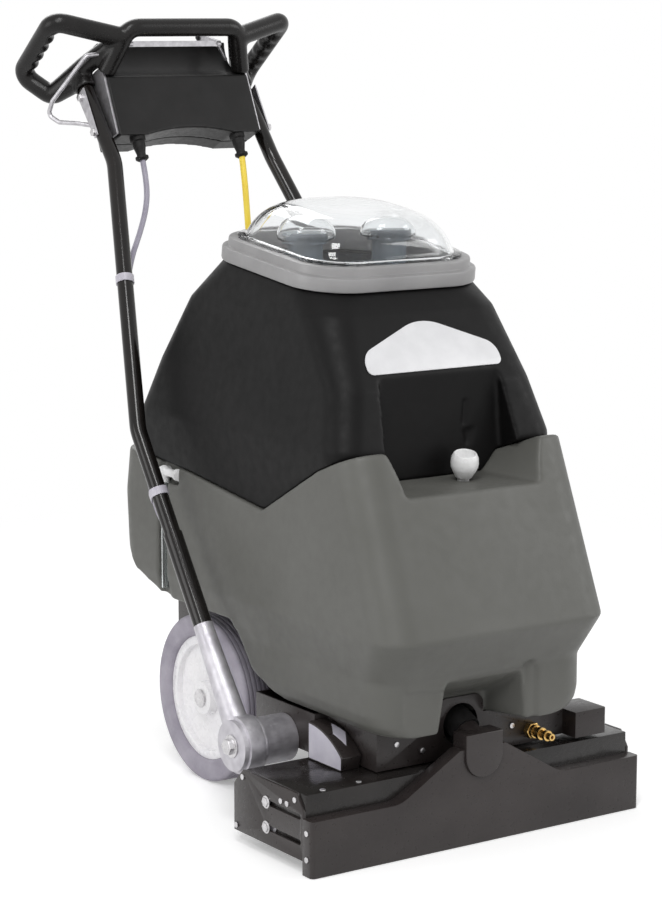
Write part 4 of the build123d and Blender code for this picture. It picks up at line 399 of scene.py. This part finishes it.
def addPiece(pieceName, mesh, finishName, body, stands=()):
    piece = bpy.data.objects.new(pieceName, mesh)
    scene.collection.objects.link(piece)
    mesh.materials.clear()
    mesh.materials.append(paints[finishName])
    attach(piece, body)
    if stands:
        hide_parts(*stands)
    return piece


def weldedMesh(node, meshName):
    form = bmesh.new()
    form.from_mesh(nodes[node].data)
    bmesh.ops.remove_doubles(form, verts=form.verts, dist=weldReach)
    mesh = bpy.data.meshes.new(meshName)
    form.to_mesh(mesh)
    form.free()
    if "custom_normal" in mesh.attributes:
        mesh.attributes.remove(mesh.attributes["custom_normal"])
    return mesh


def applied(mesh, setUp):
    # runs modifiers on a stand-by object and gives the finished mesh
    helper = bpy.data.objects.new("helper", mesh)
    scene.collection.objects.link(helper)
    setUp(helper)
    result = bpy.data.meshes.new_from_object(helper.evaluated_get(bpy.context.evaluated_depsgraph_get()))
    bpy.data.objects.remove(helper)
    bpy.data.meshes.remove(mesh)
    return result


def smoothShaded(mesh, angle=40):
    mesh.polygons.foreach_set("use_smooth", [True] * len(mesh.polygons))
    mesh.set_sharp_from_angle(angle=math.radians(angle))
    return mesh


def grooveTool(corners):
    form = bmesh.new()
    for corner in corners:
        form.verts.new(corner)
    bmesh.ops.convex_hull(form, input=form.verts)
    tool = bpy.data.objects.new("grooveTool", finishedMesh(form, "grooveTool"))
    scene.collection.objects.link(tool)
    return tool


def mouldedMesh(dials, grooves):
    # rotomoulded look: every edge turns over softly
    tools = [grooveTool(corners) for corners in grooves]

    def setUp(helper):
        for tool in tools:
            cut = helper.modifiers.new("cut", "BOOLEAN")
            cut.operation = "DIFFERENCE"
            cut.object = tool
        remesh = helper.modifiers.new("remesh", "REMESH")
        remesh.mode = "VOXEL"
        remesh.voxel_size = dials["voxel"]
        soften = helper.modifiers.new("soften", "SMOOTH")
        soften.factor = softDials["smooth"]
        soften.iterations = dials["rounds"]
        thin = helper.modifiers.new("thin", "DECIMATE")
        thin.ratio = dials["keep"]
    mesh = smoothShaded(applied(weldedMesh(dials["node"], dials["node"] + "Soft"), setUp), softDials["shade"])
    for tool in tools:
        bpy.data.objects.remove(tool)
    return mesh


def easedMesh(node, width):
    # small rounds on the sharp edges
    mesh = weldedMesh(node, node + "Eased")
    form = bmesh.new()
    form.from_mesh(mesh)
    flat = math.radians(easeDials["flat"])
    bmesh.ops.dissolve_limit(form, angle_limit=flat, verts=form.verts, edges=form.edges)
    form.to_mesh(mesh)
    form.free()

    def setUp(helper):
        ease = helper.modifiers.new("ease", "BEVEL")
        ease.width = width
        ease.segments = easeDials["segments"]
        ease.limit_method = "ANGLE"
        ease.angle_limit = math.radians(easeDials["sharp"])
    return smoothShaded(applied(mesh, setUp), easeDials["shade"])


def stitchedRings(form, rings):
    # quads from each ring to the next
    loops = [[form.verts.new(place) for place in ring] for ring in rings]
    for low, high in zip(loops, loops[1:]):
        for spot in range(len(low)):
            after = (spot + 1) % len(low)
            form.faces.new((low[spot], low[after], high[after], high[spot]))
    return loops


def roundedRing(halfX, halfY, corner, steps):
    corner = min(corner, halfX, halfY)
    ring = []
    for turn, (signX, signY) in enumerate(((1, 1), (-1, 1), (-1, -1), (1, -1))):
        for step in range(steps + 1):
            angle = math.radians(90 * (turn + step / steps))
            across = signX * (halfX - corner) + corner * math.cos(angle)
            along = signY * (halfY - corner) + corner * math.sin(angle)
            ring.append((across, along))
    return ring


def finishedMesh(form, meshName, angle=40):
    bmesh.ops.recalc_face_normals(form, faces=form.faces)
    mesh = bpy.data.meshes.new(meshName)
    form.to_mesh(mesh)
    form.free()
    return smoothShaded(mesh, angle)


def walledMesh(mesh, wall, angle=40):
    def setUp(helper):
        shell = helper.modifiers.new("shell", "SOLIDIFY")
        shell.thickness = wall
        shell.offset = -1
    return smoothShaded(applied(mesh, setUp), angle)


# Cords

leadDials = {
    "controlLead": {
        "node": "control_lead", "finish": "leadGrey", "slot": "lead_grey", "width": 0.008, "farEnd": "object",
        "lay": "loose", "length": 0.62,
        "route": [
            (-0.0825, 0.2854, 0.8257), (-0.083, 0.2726, 0.793), (-0.092, 0.2606, 0.760),
            (-0.113, 0.2436, 0.727), (-0.140, 0.2206, 0.697), (-0.160, 0.1986, 0.662),
            (-0.2115, 0.0881, 0.473), (-0.216, 0.0361, 0.396), (-0.216, 0.0236, 0.376),
            (-0.216, 0.0116, 0.367),
        ],
        "ends": [],
    },
    "mainsLead": {
        "node": "power_lead", "finish": "leadYellow", "slot": "lead_yellow", "width": 0.009, "farEnd": "plug",
        "lay": "hanging", "length": 0.27,
        "route": [
            (0.0825, 0.2854, 0.8257), (0.079, 0.2736, 0.797), (0.077, 0.2656, 0.762), (0.077, 0.2596, 0.715),
            (0.080, 0.2566, 0.660), (0.084, 0.2566, 0.608), (0.086, 0.2586, 0.560),
        ],
        "ends": ["power_plug"],
    },
}


def addLead(pieceName, dials):
    curve = bpy.data.curves.new(pieceName, "CURVE")
    curve.dimensions = "3D"
    spline = curve.splines.new("NURBS")
    spline.points.add(len(dials["route"]) - 1)
    for knot, place in zip(spline.points, dials["route"]):
        knot.co = (*place, 1)
    spline.order_u = 3
    spline.use_endpoint_u = True
    curve.resolution_u = 12
    curve.bevel_depth = dials["width"] / 2
    curve.bevel_resolution = 5
    curve.use_fill_caps = True
    piece = addPiece(pieceName, curve, dials["finish"], "handle", [dials["node"]])


for leadName, dials in leadDials.items():
    addLead(leadName, dials)
print("leads laid")


# Soft mouldings: tanks, grip and control box

mouldings = {
    "greyTank": {"node": "solution_tank", "body": "base", "finish": "tankGrey", "slot": "tank_grey",
                 "voxel": 0.0028, "rounds": 6, "keep": 0.4},
    "blackTank": {"node": "recovery_tank", "body": "recovery", "finish": "tankBlack", "slot": "tank_black",
                  "voxel": 0.0027, "rounds": 6, "keep": 0.4},
    "handGrip": {"node": "handle_grip", "body": "handle", "finish": "gripBlack", "slot": "box_black",
                 "voxel": 0.0020, "rounds": 12, "keep": 0.6},
    "boxFront": {"node": "control_box_front", "body": "handle", "finish": "boxBlack", "slot": "box_black",
                 "voxel": 0.0016, "rounds": 5, "keep": 0.6},
    "boxRear": {"node": "control_box_rear", "body": "handle", "finish": "boxBlack", "slot": "box_black",
                "voxel": 0.0016, "rounds": 5, "keep": 0.6},
}
mouldGrooves = {  # corners of each groove's tool, wide outside and narrow inside
    "greyTank": [[
        (0.052, -0.4254, 0.231), (0.082, -0.4254, 0.231), (0.0585, -0.4254, 0.170),
        (0.0535, -0.4074, 0.228), (0.0600, -0.4074, 0.228), (0.0586, -0.4074, 0.184),
    ]],
    "blackTank": [
        [(0.040, -0.3107, 0.550), (0.066, -0.3107, 0.550), (0.062, -0.3088, 0.5135), (0.040, -0.3088, 0.5135),
         (0.0405, -0.2969, 0.549), (0.047, -0.2969, 0.549),
         (0.046, -0.2950, 0.5145), (0.0405, -0.2950, 0.5145)],
        [(0.036, -0.3084, 0.5125), (0.075, -0.3084, 0.5125), (0.058, -0.3084, 0.486), (0.046, -0.3084, 0.486),
         (0.043, -0.2948, 0.5105), (0.061, -0.2948, 0.5105),
         (0.054, -0.2946, 0.490), (0.048, -0.2946, 0.490)],
    ],
}
fingerDials = {
    "top": (0.190, 0.3426, 1.019), "rear": (0.190, 0.4404, 0.944), "hole": (0.160, 0.372, 0.974),
    "waves": 5, "depth": 0.0032, "first": 0.10, "last": 0.90,
    "barReach": 0.019, "leastFacing": 0.05, "facingGain": 1.6,
}
tankMouth = {
    "middle": (0.0, -0.1014, 0.700), "lean": 7.0,
    # the lining finish is a painted sky reflection
    "lining": "tankInside", "lip": 0.004, "heart": 0.12, "halfWidth": 0.165, "front": -0.288,
}


def cutFingers(mesh):
    # finger hollows on the inner side of each loop's outer bar
    for side in (-1, 1):
        top, rear, hole = (
            Vector((side * place[0], place[1], place[2]))
            for place in (fingerDials["top"], fingerDials["rear"], fingerDials["hole"])
        )
        run = rear - top
        inward = hole - top
        inward = (inward - run * inward.dot(run) / run.length_squared).normalized()
        for vert in mesh.vertices:
            reach = vert.co - top
            share = reach.dot(run) / run.length_squared
            if not fingerDials["first"] < share < fingerDials["last"]:
                continue
            spoke = reach - run * share
            if spoke.length > fingerDials["barReach"]:
                continue
            facing = spoke.normalized().dot(inward)
            if facing < fingerDials["leastFacing"]:
                continue
            place = (share - fingerDials["first"]) / (fingerDials["last"] - fingerDials["first"])
            hollow = math.sin(math.pi * fingerDials["waves"] * place) ** 2
            vert.co -= inward * fingerDials["depth"] * hollow * min(1, facing * fingerDials["facingGain"])


def mouthFrame():
    # the mouth's middle, its way back and its way up
    lean = math.radians(tankMouth["lean"])
    back = Vector((0, math.cos(lean), math.sin(lean)))
    up = Vector((0, -math.sin(lean), math.cos(lean)))
    return Vector(tankMouth["middle"]), back, up


def lineTank(mesh):
    # the inside of the tank shows through the dome; its lining is coloured with a blue-grey painted
    # reflection of the sky on a dark plate
    mesh.materials.append(paints[tankMouth["lining"]])
    middle, _, up = mouthFrame()
    heart = Vector((0, middle.y, middle.z - tankMouth["heart"]))
    for face in mesh.polygons:
        below = (face.center - middle).dot(up) < -tankMouth["lip"]
        within = abs(face.center.x) < tankMouth["halfWidth"] and face.center.y > tankMouth["front"]
        if below and within and face.normal.dot(heart - face.center) > 0:
            face.material_index = 1


def addMoulding(pieceName, dials):
    mesh = mouldedMesh(dials, mouldGrooves.get(pieceName, []))
    print(pieceName, "faces", len(mesh.polygons))
    if pieceName == "handGrip":
        cutFingers(mesh)
    addPiece(pieceName, mesh, dials["finish"], dials["body"], [dials["node"]])
    if pieceName == "blackTank":
        lineTank(mesh)


for pieceName, dials in mouldings.items():
    addMoulding(pieceName, dials)
print("mouldings made")


# Clear dome over the tank's mouth, and a clear hood over each standpipe

domeDials = {
    "seat": 0.031, "height": 0.0525, "half": (0.115, 0.113), "corner": 0.056, "cornerSteps": 14,
    "wall": 0.003, "flange": 0.007, "flangeThick": 0.004, "flangeRound": 0.0008,
    "fillet": [(-0.0012, 0.0), (-0.0002, 0.0006)],  # inset, and lift above the flange
    "profileFrom": 0.0052, "liningTo": 0.110,
    "profile": [(0.10, 0.0011), (0.20, 0.0025), (0.32, 0.0048), (0.44, 0.0078), (0.56, 0.0117),
                (0.67, 0.0163), (0.77, 0.0217), (0.86, 0.0284), (0.93, 0.0360),
                (0.975, 0.0435), (1.0, 0.0520)],
    "crown": [(0.066, 0.0005), (0.084, 0.0009), (0.102, 0.0011), (0.109, 0.0011)],
}
hoodDials = {
    "spots": {"inletHood": (-0.066, -0.1014, 0.7385), "suctionHood": (0.066, -0.1014, 0.7385)},
    "steps": 48, "wall": 0.0018, "half": (0.037, 0.033), "bulge": 0.16, "seat": 0.0291,
    "levels": [(1.0, 0.004), (1.02, 0.009), (0.99, 0.014), (0.93, 0.019), (0.82, 0.0245), (0.66, 0.0290),
               (0.44, 0.0318), (0.2, 0.0329), (0.03, 0.033)],  # share of the half width, and lift
}


def domeRing(dials, inset, lift):
    middle, back, up = mouthFrame()
    halfX, halfY = (half - inset for half in dials["half"])
    flat = roundedRing(halfX, halfY, dials["corner"], dials["cornerSteps"])
    return [middle + Vector((across, 0, 0)) + back * along + up * lift for across, along in flat]


def domeSection(dials):
    # insets and lifts of the outer skin, then of the inner one
    seat, height, wall, flange = dials["seat"], dials["height"], dials["wall"], dials["flange"]
    flangeTop = seat + dials["flangeThick"]
    turnOver = dials["flangeRound"]
    outline = [(-flange, seat), (-flange, flangeTop - turnOver), (-flange + turnOver, flangeTop)]
    outline += [(inset, flangeTop + lift) for inset, lift in dials["fillet"]]
    wallStart = len(outline) - 1
    rises = [(inset, share * height) for share, inset in dials["profile"]]
    outline += [(inset, seat + rise) for inset, rise in rises if rise > dials["profileFrom"]]
    outline += [(inset, seat + height + rise) for inset, rise in dials["crown"]]
    lining = [(wall, seat)]
    for spot in range(wallStart, len(outline)):
        before = Vector(outline[spot - 1])
        after = Vector(outline[min(spot + 1, len(outline) - 1)])
        run = (after - before).normalized()
        inset, lift = outline[spot]
        if inset + run.y * wall < dials["liningTo"]:
            lining.append((inset + run.y * wall, lift - run.x * wall))
    return outline, lining


def addDome(dials):
    form = bmesh.new()
    outer, inner = (
        stitchedRings(form, [domeRing(dials, inset, lift) for inset, lift in skin])
        for skin in domeSection(dials)
    )
    form.faces.new(outer[-1])
    form.faces.new(inner[-1])
    for spot in range(len(outer[0])):
        after = (spot + 1) % len(outer[0])
        form.faces.new((outer[0][spot], outer[0][after], inner[0][after], inner[0][spot]))
    mesh = finishedMesh(form, "clearDome", angle=50)
    addPiece("clearDome", mesh, "domeClear", "dome", ["recovery_dome"])


def addHood(pieceName, spot, dials):
    towards = 0 if spot[0] < 0 else math.pi  # each hood bulges towards the other
    turns = [2 * math.pi * step / dials["steps"] for step in range(dials["steps"])]
    seat = dials["seat"]
    halfX, halfY = dials["half"]
    rings = [[Vector(spot) + Vector((seat * math.cos(turn), seat * math.sin(turn), 0)) for turn in turns]]
    for share, lift in dials["levels"]:
        ring = []
        for turn in turns:
            swell = share * (1 + dials["bulge"] * max(0.0, math.cos(turn - towards)) ** 3)
            across = swell * halfX * math.cos(turn)
            along = share * halfY * math.sin(turn)
            ring.append(Vector(spot) + Vector((across, along, lift)))
        rings.append(ring)
    form = bmesh.new()
    loops = stitchedRings(form, rings)
    form.faces.new(loops[-1])
    mesh = walledMesh(finishedMesh(form, pieceName + "Skin"), dials["wall"], angle=60)
    mesh.name = pieceName
    addPiece(pieceName, mesh, "domeClear", "recovery")


addDome(domeDials)
for pieceName, spot in hoodDials["spots"].items():
    addHood(pieceName, spot, hoodDials)
print("dome and hoods made")


# Brush bristles: tufts in helical rows round the core

brushDials = {
    "rows": 12, "tufts": 44, "strands": 5, "twist": 1.1, "endGap": 0.006, "seed": 11,
    "root": 0.0212, "tip": 0.0437, "tipTrim": 0.0012, "thick": 0.0010,
    "taper": [(0.0, 1.0), (0.55, 0.85), (1.0, 0.6)],  # share of the way out, and of the thickness
    "rootScatter": 0.0014, "spread": 0.0036, "rootTurn": 0.05, "tipTurn": 0.07,
}


def addBristles(dials):
    dice = random.Random(dials["seed"])
    low, high = (Vector(corner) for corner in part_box("brush_bristles"))
    middle = (low + high) / 2
    length = high.x - low.x - 2 * dials["endGap"]
    form = bmesh.new()
    for row in range(dials["rows"]):
        for tuft in range(dials["tufts"]):
            share = (tuft + 0.5 * (row % 2)) / dials["tufts"]
            place = low.x + dials["endGap"] + length * min(share, 1)
            angle = 2 * math.pi * (row + dials["twist"] * share) / dials["rows"]
            for _ in range(dials["strands"]):
                addStrand(form, dice, dials, Vector((place, middle.y, middle.z)), angle)
    mesh = finishedMesh(form, "brushTufts", angle=70)
    addPiece("brushTufts", mesh, "bristleGrey", "brush", ["brush_bristles"])


def addStrand(form, dice, dials, place, angle):
    def scatter(reach):
        return dice.uniform(-reach, reach)
    start = Vector((scatter(dials["rootScatter"]), 0, 0))
    lean = Vector((scatter(dials["spread"]), 0, 0))
    root = angle + scatter(dials["rootTurn"])
    tip = root + scatter(dials["tipTurn"])
    reach = dials["tip"] - dice.uniform(0, dials["tipTrim"])
    rings = []
    for share, width in dials["taper"]:
        turn = root + (tip - root) * share * share
        spoke = Vector((0, math.cos(turn), math.sin(turn)))
        side = Vector((0, -math.sin(turn), math.cos(turn)))
        centre = place + start + lean * share + spoke * (dials["root"] + (reach - dials["root"]) * share)
        half = dials["thick"] * width / 2
        across = Vector((half, 0, 0))
        rings.append([centre + across, centre - across + side * half, centre - side * half])
    loops = stitchedRings(form, rings)
    form.faces.new(loops[0])
    form.faces.new(loops[-1])


addBristles(brushDials)
print("bristles made")


# Plain labels on the belt guard

labelDials = {
    "centre": (-0.2494, 0.040), "radius": 0.108, "endFace": -0.162, "thick": 0.0004, "inset": 0.0024,
    "low": 0.1010, "front": -0.3226, "arcSteps": 24, "gridSteps": 8,
    "diamond": [(-0.1405, 11.0), (-0.1345, 23.5), (-0.1465, 35.5), (-0.1525, 23.0)],  # across, turn
}


def onGuard(dials, reach, angle):
    # Y and Z of a point on the guard's round
    centreY, centreZ = dials["centre"]
    return centreY - reach * math.sin(angle), centreZ + reach * math.cos(angle)


def addEndLabel(dials):
    centreY = dials["centre"][0]
    radius = dials["radius"] - dials["inset"]
    rear = centreY - dials["inset"]
    start = math.asin((centreY - rear) / radius)
    end = math.asin((centreY - dials["front"]) / radius)
    outline = [(rear, dials["low"])]
    for step in range(dials["arcSteps"] + 1):
        outline.append(onGuard(dials, radius, start + (end - start) * step / dials["arcSteps"]))
    outline.append((dials["front"], dials["low"]))
    form = bmesh.new()
    face = form.faces.new([form.verts.new((dials["endFace"] - dials["thick"], y, z)) for y, z in outline])
    raised = bmesh.ops.extrude_face_region(form, geom=[face])
    for vert in (item for item in raised["geom"] if isinstance(item, bmesh.types.BMVert)):
        vert.co.x += dials["thick"]
    mesh = finishedMesh(form, "guardEndLabel", angle=30)
    addPiece("guardEndLabel", mesh, "labelLilac", "base")


def addDiamond(dials):
    corners = [Vector(corner) for corner in dials["diamond"]]
    steps = dials["gridSteps"]
    rings = []
    for row in range(steps + 1):
        left = corners[0].lerp(corners[3], row / steps)
        right = corners[1].lerp(corners[2], row / steps)
        line = [left.lerp(right, column / steps) for column in range(steps + 1)]
        ring = []
        for reach, spots in ((dials["radius"] + dials["thick"], line), (dials["radius"], line[::-1])):
            ring += [(across, *onGuard(dials, reach, math.radians(turn))) for across, turn in spots]
        rings.append(ring)
    form = bmesh.new()
    loops = stitchedRings(form, rings)
    form.faces.new(loops[0])
    form.faces.new(loops[-1])
    mesh = finishedMesh(form, "guardDiamond", angle=30)
    addPiece("guardDiamond", mesh, "labelLilac", "base")


addEndLabel(labelDials)
addDiamond(labelDials)
print("labels made")


# Finish of each remaining node

nodeFinishes = {
    "powderCoat": ["vacuum_shoe", "shoe_outlet", "left_side_plate", "right_side_plate", "chassis_frame",
                   "belt_guard"],
    "deckCoat": ["brush_deck"],
    "zincSteel": ["shoe_bolts", "panel_screws", "pivot_bolts", "handle_bolts", "axle_shaft"],
    "brass": ["brass_coupler"],
    "rubberBlack": ["vacuum_hose", "suction_hose", "drive_belt", "strain_reliefs", "power_plug"],
    "tyreRubber": ["left_tyre", "right_tyre"],
    "hubWhite": ["left_wheel_hub", "right_wheel_hub"],
    "castAluminium": ["left_pivot_barrel", "right_pivot_barrel", "left_socket", "right_socket",
                      "motor_pulley", "brush_pulley", "brush_bearings", "vacuum_motor"],
    "handleGloss": ["left_handle_tube", "right_handle_tube", "handle_sleeves"],
    "boxBlack": ["vacuum_switch", "pump_switch"],
    "dullSteel": ["box_brackets", "cord_hook", "spray_lever"],
    "clipGrey": ["lead_clips"],
    "whitePlastic": ["tank_stopper", "level_elbow", "float_ball"],
    "badgeGrey": ["badge_plate"],
    "ringGrey": ["dome_frame"],
    # pipes in grey with a blue-grey painted sky reflection
    "pipePaintedReflection": ["inlet_standpipe", "suction_standpipe", "spray_bar"],
    "motorDark": ["brush_motor", "solution_pump", "brush_roller"],
    "hoseClear": ["level_hose"],
}
easedNodes = {  # width of the rounds on each node's edges
    "vacuum_shoe": 0.0016, "shoe_outlet": 0.0012, "brush_deck": 0.0016, "belt_guard": 0.0016,
    "chassis_frame": 0.0010, "left_side_plate": 0.0010, "right_side_plate": 0.0010,
    "left_tyre": 0.0010, "right_tyre": 0.0010, "left_wheel_hub": 0.0012, "right_wheel_hub": 0.0012,
    "left_pivot_barrel": 0.0012, "right_pivot_barrel": 0.0012,
    "left_socket": 0.0014, "right_socket": 0.0014, "dome_frame": 0.0030, "brass_coupler": 0.0004,
    "pivot_bolts": 0.0005, "shoe_bolts": 0.0004, "panel_screws": 0.0004, "handle_bolts": 0.0004,
    "badge_plate": 0.0005, "tank_stopper": 0.0010, "level_elbow": 0.0006,
}


def dressNodes():
    for finishName, members in nodeFinishes.items():
        for node in members:
            body = nodes[node]["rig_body"]
            if node in easedNodes:
                mesh = easedMesh(node, easedNodes[node])
                words = node.split("_")
                pieceName = words[0] + "".join(word.capitalize() for word in words[1:])
                addPiece(pieceName, mesh, finishName, body, [node])
            else:
                mesh = nodes[node].data
                mesh.materials.clear()
                mesh.materials.append(paints[finishName])


dressNodes()
print("nodes dressed")


print("scene done")
